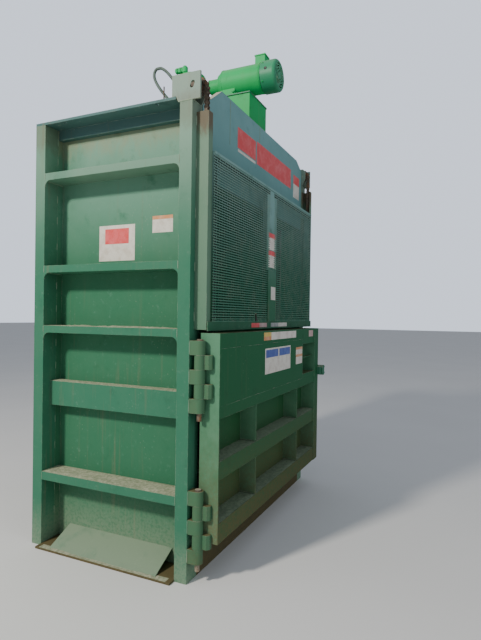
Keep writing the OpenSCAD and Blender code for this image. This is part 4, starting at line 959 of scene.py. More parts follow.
class Shape:
    """A mesh under construction, with the forms that the pieces are made of."""

    def __init__(self) -> None:
        """Starts an empty mesh."""
        self.bm = bmesh.new()

    def finish(self, name: str, material: bpy.types.Material, body: str,
               smooth: float | None = 35.0) -> bpy.types.Object:
        """Turns the mesh into a piece that rides on a body.

        Args:
            name: The piece's name.
            material: Its finish.
            body: The CAD body that it moves with.
            smooth: Edges flatter than this many degrees are shaded smooth. None shades
                the whole piece flat.

        Returns:
            The piece.
        """
        bmesh.ops.recalc_face_normals(self.bm, faces=self.bm.faces)
        mesh = bpy.data.meshes.new(name)
        if smooth is not None:
            limit = math.radians(smooth)
            for face in self.bm.faces:
                face.smooth = True
            for edge in self.bm.edges:
                edge.smooth = edge.calc_face_angle(math.pi) < limit
        self.bm.to_mesh(mesh)
        self.bm.free()
        mesh.materials.append(material)
        piece = bpy.data.objects.new(name, mesh)
        bpy.context.scene.collection.objects.link(piece)
        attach(piece, body)
        log.info("%s: %d faces on %s", name, len(mesh.polygons), body)
        return piece

    def box(self, low: Sequence[float], high: Sequence[float]) -> None:
        """Adds a flat block, such as a strip or a film.

        Args:
            low: Its lowest corner.
            high: Its highest corner.
        """
        made = bmesh.ops.create_cube(self.bm, size=1.0)["verts"]
        low_v, high_v = Vector(low), Vector(high)
        middle, size = (low_v + high_v) / 2, high_v - low_v
        for vert in made:
            vert.co = middle + Vector((vert.co[i] * size[i] for i in range(3)))

    def ring_stack(self, rings: Sequence[Sequence[Vector]]) -> None:
        """Skins closed rings of points that follow each other, and caps both ends.

        Args:
            rings: The rings, all with the same number of points.
        """
        rows = [[self.bm.verts.new(point) for point in ring] for ring in rings]
        for one, two in zip(rows, rows[1:]):
            for i in range(len(one)):
                j = (i + 1) % len(one)
                self.bm.faces.new((one[i], one[j], two[j], two[i]))
        self.bm.faces.new(rows[0])
        self.bm.faces.new(list(reversed(rows[-1])))

    def tube(self, path: Sequence[Vector], radius: Callable[[float], float] | float,
             sides: int) -> None:
        """Adds a round tube along a path.

        Args:
            path: Points of its middle line.
            radius: The radius, or a function of the share of the path behind a point.
            sides: Corners of the section.
        """
        size = radius if callable(radius) else lambda share: radius
        side: Vector | None = None
        rings = []
        for i, point in enumerate(path):
            ahead = (path[min(i + 1, len(path) - 1)] - path[max(i - 1, 0)]).normalized()
            if side is None:
                side = ahead.orthogonal().normalized()
            side = (side - ahead * side.dot(ahead)).normalized()
            other = ahead.cross(side)
            reach = size(i / (len(path) - 1))
            rings.append([point + reach * (math.cos(a) * side + math.sin(a) * other)
                          for a in (k * math.tau / sides for k in range(sides))])
        self.ring_stack(rings)

    def turned(self, origin: Sequence[float], axis: Sequence[float],
               profile: Sequence[tuple[float, float]], sides: int) -> None:
        """Adds a turned form.

        Args:
            origin: Where the axis starts.
            axis: The direction along which the profile runs.
            profile: Pairs of place along the axis and radius.
            sides: Corners of the section.
        """
        ahead = Vector(axis).normalized()
        side = ahead.orthogonal().normalized()
        other = ahead.cross(side)
        start = Vector(origin)
        rings = [[start + along * ahead + max(radius, 1e-5) * (
            math.cos(a) * side + math.sin(a) * other)
            for a in (k * math.tau / sides for k in range(sides))]
            for along, radius in profile]
        self.ring_stack(rings)

    def bolt(self, origin: Sequence[float], axis: Sequence[float], size: float,
             washer: bool = True) -> None:
        """Adds a hexagon head with a chamfer, on a washer.

        Args:
            origin: Where it sits on the surface.
            axis: The direction out of the surface.
            size: Radius of the thread; the head is twice as wide.
            washer: Whether there is a washer under it.
        """
        base = Vector(origin)
        ahead = Vector(axis).normalized()
        sunk = -0.0005
        if washer:
            self.turned(base, ahead, [(sunk, size * 2.1), (size * 0.3, size * 2.1),
                                      (size * 0.36, size * 2.0)], sides=20)
            base = base + ahead * size * 0.34
        self.turned(base, ahead, [(sunk, size * 1.75), (size, size * 1.75),
                                  (size * 1.25, size * 1.5)], sides=6)
        self.turned(base, ahead, [(size, size * 0.95), (size * 1.55, size * 0.95),
                                  (size * 1.7, size * 0.75)], sides=14)

    def weld(self, start: Sequence[float], end: Sequence[float], radius: float,
             seed: int) -> None:
        """Adds a rippled weld bead along a straight seam.

        Args:
            start: One end of the seam.
            end: The other end.
            radius: Half its width.
            seed: Seed of its small unevenness.
        """
        one, two = Vector(start), Vector(end)
        length = (two - one).length
        fewest, step = 6, 0.0035
        steps = max(fewest, int(length / step))
        dice = random.Random(seed)
        ahead = (two - one).normalized()
        side = ahead.orthogonal().normalized()
        other = ahead.cross(side)
        path = []
        for i in range(steps + 1):
            wander = dice.uniform(-0.12, 0.12) * radius
            path.append(one + ahead * (length * i / steps) + side * wander + other * wander)

        def reach(share: float) -> float:
            """Radius of the bead at a share of its length."""
            taper = min(1.0, share * steps / 2 + 0.35, (1 - share) * steps / 2 + 0.35)
            return radius * taper * (1.0 + 0.14 * math.sin(share * steps * 2.1))

        self.tube(path, reach, sides=6)

    def stitch(self, foot: Sequence[float], length: float, radius: float, seed: int) -> None:
        """Adds an upright weld bead.

        Args:
            foot: Its lower end.
            length: Its length.
            radius: Half its width.
            seed: Seed of its small unevenness.
        """
        x, y, z = foot
        self.weld((x, y, z), (x, y, z + length), radius, seed)

    def drift(self, low: tuple[float, float], high: tuple[float, float], top: float,
              depth: float, seed: float, cell: float = 0.011) -> None:
        """Adds a thin bed of loose dirt with small heaps on a level face.

        Args:
            low: Its corner with the least X and Y.
            high: Its corner with the most.
            top: Height of the face that it lies on.
            depth: Height of its greatest heaps.
            seed: Shifts where the heaps are.
            cell: Distance between its points.
        """
        film, sunk = 0.0003, 0.0004
        nx = max(3, round((high[0] - low[0]) / cell))
        ny = max(3, round((high[1] - low[1]) / cell))
        rows = []
        for j in range(ny + 1):
            row = []
            for i in range(nx + 1):
                x = low[0] + (high[0] - low[0]) * i / nx
                y = low[1] + (high[1] - low[1]) * j / ny
                wide = noise.fractal(Vector((x * 5 + seed, y * 5, seed)), 0.8, 2.0, 3)
                fine = noise.fractal(Vector((x * 42, y * 42 + seed, seed)), 0.5, 2.0, 4)
                heap = max(0.0, wide - 0.05) * 1.6 + max(0.0, fine) * 0.5
                edge = min(i, nx - i, j, ny - j)
                rise = film + depth * min(1.0, heap) * min(1.0, edge / 2)
                row.append(self.bm.verts.new((x, y, top + rise)))
            rows.append(row)
        for j in range(ny):
            for i in range(nx):
                self.bm.faces.new((rows[j][i], rows[j][i + 1], rows[j + 1][i + 1],
                                   rows[j + 1][i]))
        rim = rows[0] + [row[-1] for row in rows[1:]] + rows[-1][-2::-1]
        rim += [row[0] for row in rows[-2:0:-1]]
        foot = [self.bm.verts.new((vert.co.x, vert.co.y, top - sunk)) for vert in rim]
        for i, vert in enumerate(rim):
            j = (i + 1) % len(rim)
            self.bm.faces.new((vert, foot[i], foot[j], rim[j]))
        self.bm.faces.new(foot)


@dataclass(frozen=True)
class Lamp:
    """A soft round lamp that looks at the middle of the machine."""

    name: str
    towards: Point
    away: float
    width: float
    power: float
    tint: Rgb
    aim: Point = (0, 0, 1.5)

    def build(self) -> None:
        """Adds the lamp."""
        data = bpy.data.lights.new(self.name, "AREA")
        data.shape = "DISK"
        data.size, data.energy, data.color = self.width, self.power, self.tint
        lamp = bpy.data.objects.new(self.name, data)
        ray = Vector(self.towards).normalized()
        lamp.location = Vector(self.aim) + ray * self.away
        lamp.rotation_euler = ray.to_track_quat("Z", "Y").to_euler()
        bpy.context.scene.collection.objects.link(lamp)


@dataclass(frozen=True)
class Studio:
    """Floor, light and the camera, which stands where the photograph was taken from.

    The angles are in degrees. The focal length is in pixels of an image of image_height.
    """

    eye: Point = (-3.179, -1.8435, 1.389)
    yaw: float = 24.61
    pitch: float = -0.41
    roll: float = 0.80
    focal: float = 497.3
    image_height: float = 640.0
    clip: Span = (0.05, 200.0)
    sensor: float = 36.0
    sky: Rgb = (0.78, 0.86, 1.0)
    sky_light: float = 0.45
    sky_seen: float = 1.25
    floor_reach: float = 60.0
    floor_shades: tuple[Shade, Shade] = ((222, 220, 216), (232, 230, 226))
    lamps: tuple[Lamp, ...] = (
        Lamp("key", towards=(-1.0, 0.31, 0.63), away=8.0, width=0.8, power=575.0,
             tint=(1.0, 0.96, 0.88)),
        Lamp("front_fill", towards=(-0.35, -1.0, 0.35), away=9.0, width=5.0, power=105.0,
             tint=(0.86, 0.93, 1.0)))

    def camera(self) -> None:
        """Makes the camera from the values found for the photograph."""
        yaw, pitch, roll = (math.radians(v) for v in (self.yaw, self.pitch, self.roll))
        ahead = Vector((math.cos(yaw) * math.cos(pitch), math.sin(yaw) * math.cos(pitch),
                        math.sin(pitch)))
        right = Vector((math.sin(yaw), -math.cos(yaw), 0.0))
        up = right.cross(ahead)
        rolled_right = math.cos(roll) * right + math.sin(roll) * up
        rolled_up = -math.sin(roll) * right + math.cos(roll) * up
        data = bpy.data.cameras.new("camera")
        data.sensor_fit = "AUTO"
        data.sensor_width = self.sensor
        data.lens = self.focal / self.image_height * self.sensor
        data.clip_start, data.clip_end = self.clip
        camera = bpy.data.objects.new("camera", data)
        turn = Matrix((rolled_right, rolled_up, -ahead)).transposed()
        camera.matrix_world = Matrix.Translation(self.eye) @ turn.to_4x4()
        bpy.context.scene.collection.objects.link(camera)
        bpy.context.scene.camera = camera

    def world(self) -> None:
        """Makes the soft surrounding light, with a brighter backdrop behind the machine."""
        world = bpy.data.worlds.new("studio")
        bpy.context.scene.world = world
        world.use_nodes = True
        graph = Graph(world.node_tree)
        sky = (*self.sky, 1.0)
        light = graph.add("ShaderNodeBackground", Color=sky, Strength=self.sky_light)
        backdrop = graph.add("ShaderNodeBackground", Color=sky, Strength=self.sky_seen)
        seen = graph.add("ShaderNodeLightPath").outputs["Is Camera Ray"]
        chosen = graph.add("ShaderNodeMixShader")
        output = graph.add("ShaderNodeOutputWorld")
        for index, value in enumerate((seen, light.outputs[0], backdrop.outputs[0])):
            graph.link(value, chosen.inputs[index])
        graph.link(chosen.outputs[0], output.inputs[0])

    def floor(self) -> None:
        """Makes the plain pale floor."""
        shape = bmesh.new()
        bmesh.ops.create_grid(shape, x_segments=1, y_segments=1, size=self.floor_reach)
        mesh = bpy.data.meshes.new("floor")
        shape.to_mesh(mesh)
        shape.free()
        made = Surface("floor")
        cloud = made.graph.noise(made.graph.place(), scale=0.8, detail=4, rough=0.5)
        darker, paler = (rgba(shade) for shade in self.floor_shades)
        made.set(Base_Color=made.graph.mix(cloud, darker, paler), Roughness=0.9)
        mesh.materials.append(made.material)
        floor = bpy.data.objects.new("floor", mesh)
        bpy.context.scene.collection.objects.link(floor)
        floor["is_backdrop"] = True

    def surroundings(self) -> None:
        """Makes all but the camera."""
        self.world()
        self.floor()
        for lamp in self.lamps:
            lamp.build()


@dataclass(frozen=True)
class Label:
    """A bare field of colour, stuck on a flat face, between two corners."""

    name: str
    body: str
    first: Point
    second: Point
    tint: Tint

    def build(self, palette: Palette) -> None:
        """Builds the field.

        Args:
            palette: The finishes.
        """
        shape = Shape()
        shape.box(self.first, self.second)
        shape.finish(self.name, palette.films[self.tint], self.body)


@dataclass
class Labels:
    """The bare colour fields in the places where the machine has labels.

    Places along X are measured from the left side of the posts, and along Y from their face.
    """

    thick: float = 0.0006
    sunk: float = 0.0002
    fields: list[Label] = field(default_factory=list)

    def front(self, name: str, body: str, plane: float, x: Span, z: Span, tint: Tint,
              layer: int = 0) -> None:
        """Adds a field on a face that looks to the front.

        Args:
            name: The piece's name.
            body: The body that it rides on.
            plane: Y of the face.
            x: Its ends.
            z: Its bottom and top.
            tint: Its colour.
            layer: How many fields lie under it.
        """
        back = plane + self.sunk - layer * self.thick
        self.fields.append(Label(name, body, (across(x[0]), back - self.thick, z[0]),
                                 (across(x[1]), back, z[1]), tint))

    def left(self, name: str, plane: float, y: Span, z: Span, tint: Tint,
             layer: int = 0) -> None:
        """Adds a field on a face of the frame that looks to the left.

        Args:
            name: The piece's name.
            plane: X of the face.
            y: Its ends.
            z: Its bottom and top.
            tint: Its colour.
            layer: How many fields lie under it.
        """
        back = plane + self.sunk - layer * self.thick
        self.fields.append(Label(name, "frame", (back - self.thick, behind(y[0]), z[0]),
                                 (back, behind(y[1]), z[1]), tint))

    def on_panel(self, plane: float) -> None:
        """Lists the fields on the upper front panel.

        Args:
            plane: Y of its face.
        """
        end = (1.614, 1.76)
        for name, x, z, tint, layer in (
                ("left", (0.551, 0.835), (2.425, 2.552), Tint.RED, 0),
                ("strip", (0.556, 0.832), (2.402, 2.418), Tint.WHITE, 0),
                ("right", (0.854, 1.55), (2.41, 2.56), Tint.RED, 0),
                ("end", end, (2.36, 2.54), Tint.WHITE, 0),
                ("end_head", end, (2.47, 2.54), Tint.RED, 1)):
            self.front(f"panel_label_{name}", "frame", plane, x, z, tint, layer)

    def on_side(self) -> None:
        """Lists the fields on the left side sheet."""
        small = (0.2, 0.336)
        for name, y, z, tint, layer in (
                ("large", (0.457, 0.716), (1.706, 1.916), Tint.WHITE, 0),
                ("large_block", (0.5, 0.672), (1.806, 1.895), Tint.RED, 1),
                ("small", small, (1.856, 1.951), Tint.WHITE, 0),
                ("small_band", small, (1.931, 1.951), Tint.ORANGE, 1)):
            self.left(f"side_label_{name}", SKIN_X, y, z, tint, layer)

    def on_gate(self) -> None:
        """Lists the fields on the gate's stepped centre stile and its bottom rail."""
        stile, wide, height, head = GATE_Y - 0.001, (0.882, 1.018), 0.113, 0.082
        for name, low in (("upper", 1.84), ("lower", 1.722)):
            name = f"stile_label_{name}"
            self.front(name, "gate", stile, wide, (low, low + height), Tint.WHITE)
            self.front(f"{name}_head", "gate", stile, wide, (low + head, low + height),
                       Tint.RED, 1)
        step = GATE_Y - 0.008
        self.front("stile_label_low", "gate", step, (0.918, 1.0), (1.504, 1.592), Tint.WHITE)
        for name, x, tint, layer in (("left", (0.613, 0.87), Tint.PINK, 0),
                                     ("left_end", (0.613, 0.74), Tint.RED, 1),
                                     ("right", (0.945, 1.269), Tint.GREY, 0),
                                     ("right_end", (1.09, 1.269), Tint.WHITE, 1)):
            self.front(f"gate_label_{name}", "gate", GATE_Y, x, (1.321, 1.349), tint, layer)

    def on_door(self) -> None:
        """Lists the fields on the door's cover and its top rail."""
        rail, cover, parting, band = (0.663, 0.79), (1.3, 1.452), 1.264, 0.018
        for name, x, z, tint, layer in (
                ("door_sign", (0.688, 1.175), (1.025, 1.188), Tint.WHITE, 0),
                ("door_sign_left", (0.702, 0.922), (1.128, 1.178), Tint.BLUE, 1),
                ("door_sign_right", (0.942, 1.162), (1.128, 1.178), Tint.BLUE, 1),
                ("rail_label", (0.663, 1.297), (1.24, 1.29), Tint.WHITE, 0),
                ("rail_label_head", rail, (parting, 1.29), Tint.YELLOW, 1),
                ("rail_label_foot", rail, (1.24, parting), Tint.ORANGE, 1),
                ("cover_label", cover, (1.04, 1.166), Tint.WHITE, 0),
                ("cover_label_top", cover, (1.148, 1.148 + band), Tint.ORANGE, 1),
                ("cover_label_middle", cover, (1.094, 1.094 + band), Tint.ORANGE, 1),
                ("rail_label_end", (1.62, 1.735), (1.236, 1.286), Tint.PINK, 0)):
            self.front(name, "door", DOOR_Y, x, z, tint, layer)

    def build(self, frame: Frame, palette: Palette) -> None:
        """Lists every field and builds it.

        Args:
            frame: The CAD model, for the plane of its panel.
            palette: The finishes.
        """
        self.on_panel(frame.low("upper_front_panel").y)
        self.on_side()
        self.on_gate()
        self.on_door()
        for label in self.fields:
            label.build(palette)


@dataclass(frozen=True)
class Lattice:
    """The gate's expanded metal: rows of strands that run up and down between bonds."""

    rise: float = 0.0143
    diamond: float = 0.062
    bond: float = 0.020
    strand: float = 0.0064
    thick: float = 0.0018
    lean: float = 0.0014
    swing: float = 0.0009
    tie: float = 0.006
    tie_in: float = 0.0004
    tie_thick: float = 0.0012
    forward: float = 0.0012
    bays: tuple[Span, ...] = ((-0.878, -0.0612), (0.0122, 0.868))
    low: float = 1.360
    high: float = 2.236
    margin: float = 0.002
    strip_x: float = 0.8335
    strip_height: float = 0.031
    strip_out: float = 0.0003
    strip_in: float = 0.0004

    def wave(self, x: float) -> float:
        """How far a strand is up, from -1 to 1, at a place along it.

        Args:
            x: The place.

        Returns:
            The share of the swing.
        """
        flat = self.bond / 2
        part = abs(x % self.diamond - self.diamond / 2)
        slope = self.diamond / 2 - 2 * flat
        return max(-1.0, min(1.0, (part - flat) / slope * 2 - 1))

    def stops(self, left: float, right: float) -> list[float]:
        """Places where a strand of a bay bends, with its two ends.

        Args:
            left: Where the bay starts.
            right: Where it ends.

        Returns:
            The places, in order.
        """
        turns = (self.bond / 2, self.diamond / 2 - self.bond / 2,
                 self.diamond / 2 + self.bond / 2, self.diamond - self.bond / 2)
        first = math.floor(left / self.diamond) - 1
        last = math.ceil(right / self.diamond) + 1
        inside = {n * self.diamond + turn for n in range(first, last) for turn in turns}
        return sorted({left, right} | {x for x in inside if left < x < right})

    def strand_row(self, shape: Shape, stops: Sequence[float], row: int) -> None:
        """Adds one strand, right across a bay.

        Args:
            shape: The mesh under construction.
            stops: Places where it bends.
            row: The row's number from the bottom.
        """
        swing = self.swing if row % 2 else -self.swing
        rings = []
        for x in stops:
            z = self.low + row * self.rise + swing * self.wave(x)
            z = max(self.low + self.margin, min(self.high - self.margin, z))
            rings.append([
                Vector((x, GATE_Y - self.forward + dy * self.thick / 2 + dz * self.lean / 2,
                        z + dz * self.strand / 2))
                for dy, dz in ((-1, -1), (1, -1), (1, 1), (-1, 1))])
        shape.ring_stack(rings)

    def ties(self, shape: Shape, left: float, right: float, row: int) -> None:
        """Adds the bonds between a row and the one above it.

        Args:
            shape: The mesh under construction.
            left: Where the bay starts.
            right: Where it ends.
            row: The row's number from the bottom.
        """
        shift = self.diamond / 2 if row % 2 else 0.0
        low = self.low + row * self.rise + self.strand / 2 - self.tie_in
        high = low + self.rise - self.strand + 2 * self.tie_in
        front = GATE_Y - self.forward - self.tie_thick / 2
        back = GATE_Y - self.forward + self.tie_thick / 2
        for n in range(math.ceil(left / self.diamond), math.floor(right / self.diamond)):
            x = n * self.diamond + shift
            if left < x - self.tie and x + self.tie < right:
                shape.box((x - self.tie / 2, front, low), (x + self.tie / 2, back, high))

    def shade(self, palette: Palette) -> None:
        """Adds dark strips of painted shade on the frame behind the mesh's overlap, where the
        mesh would shade it.

        Args:
            palette: The finishes.
        """
        strips = Shape()
        front, back = GATE_Y - self.strip_out, GATE_Y + self.strip_in
        low, top = self.low + self.margin, self.high - self.margin
        under = top - self.strip_height
        for (left, right), side in zip(self.bays, SIDES):
            left, right = left + self.margin, right - self.margin
            strips.box((left, front, under), (right, back, top))
            outer = left if side < 0 else right
            ends = sorted((outer, side * self.strip_x))
            strips.box((ends[0], front, low), (ends[1], back, under))
        strips.finish("mesh_shade", palette.shade, "gate")

    def build(self, palette: Palette) -> None:
        """Builds both bays as one piece that stands for the coarse mesh.

        Args:
            palette: The finishes.
        """
        shape = Shape()
        rows = int((self.high - self.low) / self.rise)
        for left, right in self.bays:
            stops = self.stops(left, right)
            for row in range(rows + 1):
                self.strand_row(shape, stops, row)
                if row < rows:
                    self.ties(shape, left, right, row)
        piece = shape.finish("gate_lattice", palette.mesh, "gate", smooth=None)
        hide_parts("gate_mesh")
        self.shade(palette)


@dataclass(frozen=True)
class Hose:
    """The hydraulic hose with its crimped ends, along the route that the CAD model gives."""

    radius: float = 0.011
    crest: float = 3.2545
    crimp: Profile = ((0.0, 0.0135), (0.003, 0.0145), (0.011, 0.0145), (0.012, 0.0136),
                      (0.015, 0.0136), (0.016, 0.0145), (0.027, 0.0145), (0.029, 0.0122))
    route: tuple[Point, ...] = (
        (-0.015, 0.158, 3.103), (-0.015, 0.170, 3.126), (-0.015, 0.186, 3.149),
        (-0.015, 0.206, 3.174), (-0.015, 0.230, 3.202), (-0.015, 0.260, 3.231),
        (-0.015, 0.295, 3.253), (-0.015, 0.328, 3.256), (-0.015, 0.350, 3.235),
        (-0.015, 0.354, 3.200), (-0.014, 0.340, 3.160), (-0.012, 0.318, 3.122),
        (-0.008, 0.290, 3.082), (0.0, 0.260, 3.044), (0.014, 0.232, 3.008),
        (0.036, 0.210, 2.968), (0.066, 0.192, 2.924), (0.098, 0.170, 2.878),
        (0.128, 0.142, 2.834), (0.154, 0.106, 2.794), (0.172, 0.068, 2.760),
        (0.182, 0.032, 2.734), (0.185, 0.008, 2.714), (0.185, 0.0, 2.698),
        (0.185, 0.0, 2.680))

    def build(self, palette: Palette) -> None:
        """Args:
            palette: The finishes.
        """
        path = spline(self.route, steps=3)
        for point in path:
            point.z = min(point.z, self.crest)
        shape = Shape()
        shape.tube(path, self.radius, sides=18)
        hose = shape.finish("hose", palette.rubber, "frame", smooth=50.0)
        ends = Shape()
        for tip, ahead in ((path[0], path[1] - path[0]), (path[-1], path[-2] - path[-1])):
            ends.turned(tip, ahead, self.crimp, sides=24)
        crimps = ends.finish("hose_ends", palette.steel, "frame")
        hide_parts("hydraulic_hose")


@dataclass(frozen=True)
class GateChain:
    """Roller chain from a sheave down to the gate, at a fixed length; the real one shortens as
    the gate rises.
    """

    side: int
    links: int = 33
    pitch: float = 0.0254
    plate: float = 0.0115
    waist: float = 0.0078
    thick: float = 0.0024
    inner: float = 0.0076
    outer: float = 0.0101
    pin: float = 0.0039
    roller: float = 0.0079
    chamfer: float = 0.0008
    x: float = 0.895
    y: float = -0.5886
    top: float = 2.578
    lift: float = 0.66

    def outline(self, z: float) -> list[tuple[float, float]]:
        """Corners of one waisted plate, as pairs of Y and Z.

        Args:
            z: Height of the joint that the plate hangs from.

        Returns:
            The corners, in order.
        """
        corners = []
        for middle, first, side in ((z, -20, -1), (z - self.pitch, 160, 1)):
            for step in range(0, 221, 20):
                a = math.radians(first + step)
                corners.append((self.y + self.plate * math.cos(a),
                                middle + self.plate * math.sin(a)))
            corners.append((self.y + side * self.waist, z - self.pitch / 2))
        return corners

    def link(self, shape: Shape, x: float, z: float, near: float) -> None:
        """Adds the two plates of a link and the pin at its foot.

        Args:
            shape: The mesh under construction.
            x: Middle of the chain.
            z: Height of the joint that the link hangs from.
            near: Distance of its plates from the middle.
        """
        half, tip = self.outer + self.thick, self.chamfer
        for way in SIDES:
            shape.ring_stack([[Vector((x + way * off, y, height))
                               for y, height in self.outline(z)]
                              for off in (near, near + self.thick)])
        for way in SIDES:
            shape.turned((x, self.y, z - self.pitch), (way, 0, 0), [
                (0.0, self.pin), (half, self.pin), (half + tip, self.pin * 0.9),
                (half + 1.5 * tip, self.pin * 0.6)], sides=12)

    def build(self, palette: Palette) -> None:
        """Builds the chain.

        Args:
            palette: The finishes.
        """
        shape = Shape()
        x = self.side * self.x
        edge, width = self.chamfer, 2 * self.inner
        for i in range(self.links):
            z = self.top - i * self.pitch
            self.link(shape, x, z, self.inner if i % 2 else self.outer)
            if i < self.links - 1:
                shape.turned((x - self.inner, self.y, z - self.pitch), (1, 0, 0), [
                    (0.0, self.roller - edge), (edge, self.roller),
                    (width - edge, self.roller), (width, self.roller - edge)], sides=20)
        name = "left" if self.side < 0 else "right"
        piece = shape.finish(f"{name}_gate_chain", palette.rusty, "frame",
                             smooth=40.0)
        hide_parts(f"{name}_chain_run")
        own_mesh(piece)


@dataclass(frozen=True)
class RamFittings:
    """Bolts of the ram's flange, the plug on its cap and the fittings at its upper port."""

    y: float = 0.025
    bolt_out: float = 0.077
    bolt_size: float = 0.010
    flange_top: float = 2.555
    cap_z: float = 3.1515
    plug: Profile = ((0.0, 0.022), (0.012, 0.022), (0.016, 0.018), (0.017, 0.010),
                     (0.024, 0.010), (0.026, 0.007))
    port_back: float = 0.068
    port_z: float = 3.1355
    port: Profile = ((0.0, 0.021), (0.030, 0.021), (0.033, 0.016), (0.050, 0.016),
                     (0.052, 0.022), (0.090, 0.022), (0.094, 0.015), (0.101, 0.013))
    arm_z: float = 3.208
    arm_way: Point = (0, 1, 0.04)
    arm: Profile = ((0.0, 0.018), (0.026, 0.018), (0.027, 0.024), (0.050, 0.024),
                    (0.051, 0.016), (0.058, 0.016), (0.059, 0.022), (0.074, 0.022),
                    (0.079, 0.016))

    def build(self, palette: Palette) -> None:
        """Builds them.

        Args:
            palette: The finishes.
        """
        bolts = Shape()
        for dx in SIDES:
            for dy in SIDES:
                bolts.bolt((dx * self.bolt_out, self.y + dy * self.bolt_out,
                            self.flange_top), UP, self.bolt_size)
        bolts.finish("ram_bolts", palette.steel, "frame")
        top = Shape()
        foot = self.y + self.port_back
        top.turned((0.0, self.y, self.cap_z), UP, self.plug, sides=6)
        top.turned((0.0, foot, self.port_z), UP, self.port, sides=24)
        top.turned((0.0, foot, self.arm_z), self.arm_way, self.arm, sides=6)
        top.finish("ram_top_fittings", palette.unit, "frame")


@dataclass(frozen=True)
class MotorTrim:
    """Bands round the motor, its screws and the plug of its fan cover."""

    x: float = 0.088
    z: float = 3.074
    band_places: Span = (-0.4985, -0.2135)
    band: Profile = ((0.0, 0.1015), (0.001, 0.1036), (0.010, 0.1036), (0.011, 0.1015))
    cover_turns: tuple[int, ...] = (35, 145, 215, 325)
    cover_y: float = -0.528
    cover_out: float = 0.1088
    cover_size: float = 0.0035
    foot_x: float = 0.078
    foot_places: Span = (-0.300, -0.213)
    foot_z: float = 2.985
    foot_size: float = 0.006
    box_x: float = 0.034
    box_places: Span = (-0.520, -0.456)
    box_z: float = 3.2299
    box_size: float = 0.003
    plug_turn: int = 172
    plug_y: float = -0.556
    plug_out: float = 0.1085
    plug: Profile = ((0.0, 0.011), (0.0012, 0.011), (0.002, 0.009), (0.001, 0.006))

    def round(self, turn: float) -> Vector:
        """Direction out of the motor's axis at a turn in degrees."""
        a = math.radians(turn)
        return Vector((math.cos(a), 0.0, math.sin(a)))

    def screws(self, palette: Palette) -> None:
        """Builds the screws of the fan cover, the feet and the junction box.

        Args:
            palette: The finishes.
        """
        screws = Shape()
        for turn in self.cover_turns:
            out = self.round(turn)
            screws.bolt(Vector((self.x, self.cover_y, self.z)) + out * self.cover_out, out,
                        self.cover_size, washer=False)
        for side in SIDES:
            for y in self.foot_places:
                screws.bolt((self.x + side * self.foot_x, y, self.foot_z), (side, 0, 0),
                            self.foot_size, washer=False)
        for side in SIDES:
            for y in self.box_places:
                screws.bolt((self.x + side * self.box_x, y, self.box_z), UP, self.box_size,
                            washer=False)
        screws.finish("motor_screws", palette.unit, "frame")

    def build(self, palette: Palette) -> None:
        """Builds them.

        Args:
            palette: The finishes.
        """
        bands = Shape()
        for y in self.band_places:
            bands.turned((self.x, y, self.z), (0, 1, 0), self.band, sides=96)
        bands.finish("motor_bands", palette.unit, "frame", smooth=30.0)
        self.screws(palette)
        plug = Shape()
        out = self.round(self.plug_turn)
        plug.turned(Vector((self.x, self.plug_y, self.z)) + out * self.plug_out, out,
                    self.plug, sides=20)
        plug.finish("fan_cover_plug", palette.plastic, "frame")


@dataclass(frozen=True)
class TankTrim:
    """Screws round the tank's lid and the ribs of its filler cap."""

    lid_z: float = 2.930
    screw_size: float = 0.0032
    row_start: float = -0.052
    row_step: float = 0.070
    row_count: int = 5
    row_places: Span = (-0.4575, -0.0885)
    side_places: Span = (-0.063, 0.239)
    side_rows: tuple[float, ...] = (-0.36, -0.27, -0.18)
    cap: Point = (0.1995, -0.1155, 2.943)
    cap_radius: float = 0.0278
    ribs: int = 24
    rib: Profile = ((0.0, 0.0018), (0.028, 0.0018), (0.029, 0.001))

    def build(self, palette: Palette) -> None:
        """Builds them.

        Args:
            palette: The finishes.
        """
        places = [(self.row_start + i * self.row_step, y) for i in range(self.row_count)
                  for y in self.row_places]
        places += [(x, y) for y in self.side_rows for x in self.side_places]
        screws = Shape()
        for place in places:
            screws.bolt((*place, self.lid_z), UP, self.screw_size)
        screws.finish("tank_screws", palette.unit, "frame")
        cap = Shape()
        x, y, z = self.cap
        for k in range(self.ribs):
            a = k * math.tau / self.ribs
            cap.turned((x + self.cap_radius * math.cos(a), y + self.cap_radius * math.sin(a),
                        z), UP, self.rib, sides=6)
        cap.finish("filler_cap_ribs", palette.plastic, "frame")


@dataclass(frozen=True)
class RoofStud:
    """The thin rusty stud at the roof's left edge, with its nut."""

    foot: Point = (-0.925, -0.3415, 2.5298)
    stud: Profile = ((0.0, 0.004), (0.030, 0.004), (0.0302, 0.0036), (0.084, 0.0036),
                     (0.086, 0.002))
    nut: Profile = ((0.0, 0.008), (0.0065, 0.008), (0.008, 0.0065))

    def build(self, palette: Palette) -> None:
        """Builds it.

        Args:
            palette: The finishes.
        """
        stud = Shape()
        stud.turned(self.foot, UP, self.stud, sides=14)
        stud.turned(self.foot, UP, self.nut, sides=6)
        stud.finish("roof_stud", palette.rusty, "frame")


@dataclass(frozen=True)
class AxleEnds:
    """Rusty ends of the sheave axles in the slots of the outer brackets, with their pins."""

    end: Point = (0.9535, -0.5405, 2.5765)
    head: Profile = ((0.0, 0.0125), (0.0085, 0.0125), (0.0100, 0.0108), (0.0104, 0.0060),
                     (0.0098, 0.0040))
    pin_foot: Point = (0.9585, -0.5395, 2.568)
    pin_way: Point = (0, 0.25, 1)
    pin: Profile = ((0.0, 0.0016), (0.022, 0.0016), (0.0225, 0.0008))

    def build(self, palette: Palette) -> None:
        """Builds them.

        Args:
            palette: The finishes.
        """
        ends = Shape()
        for side in SIDES:
            ends.turned((side * self.end[0], *self.end[1:]), (side, 0, 0), self.head,
                        sides=20)
            ends.turned((side * self.pin_foot[0], *self.pin_foot[1:]), self.pin_way,
                        self.pin, sides=8)
        ends.finish("axle_ends", palette.rusty, "frame")


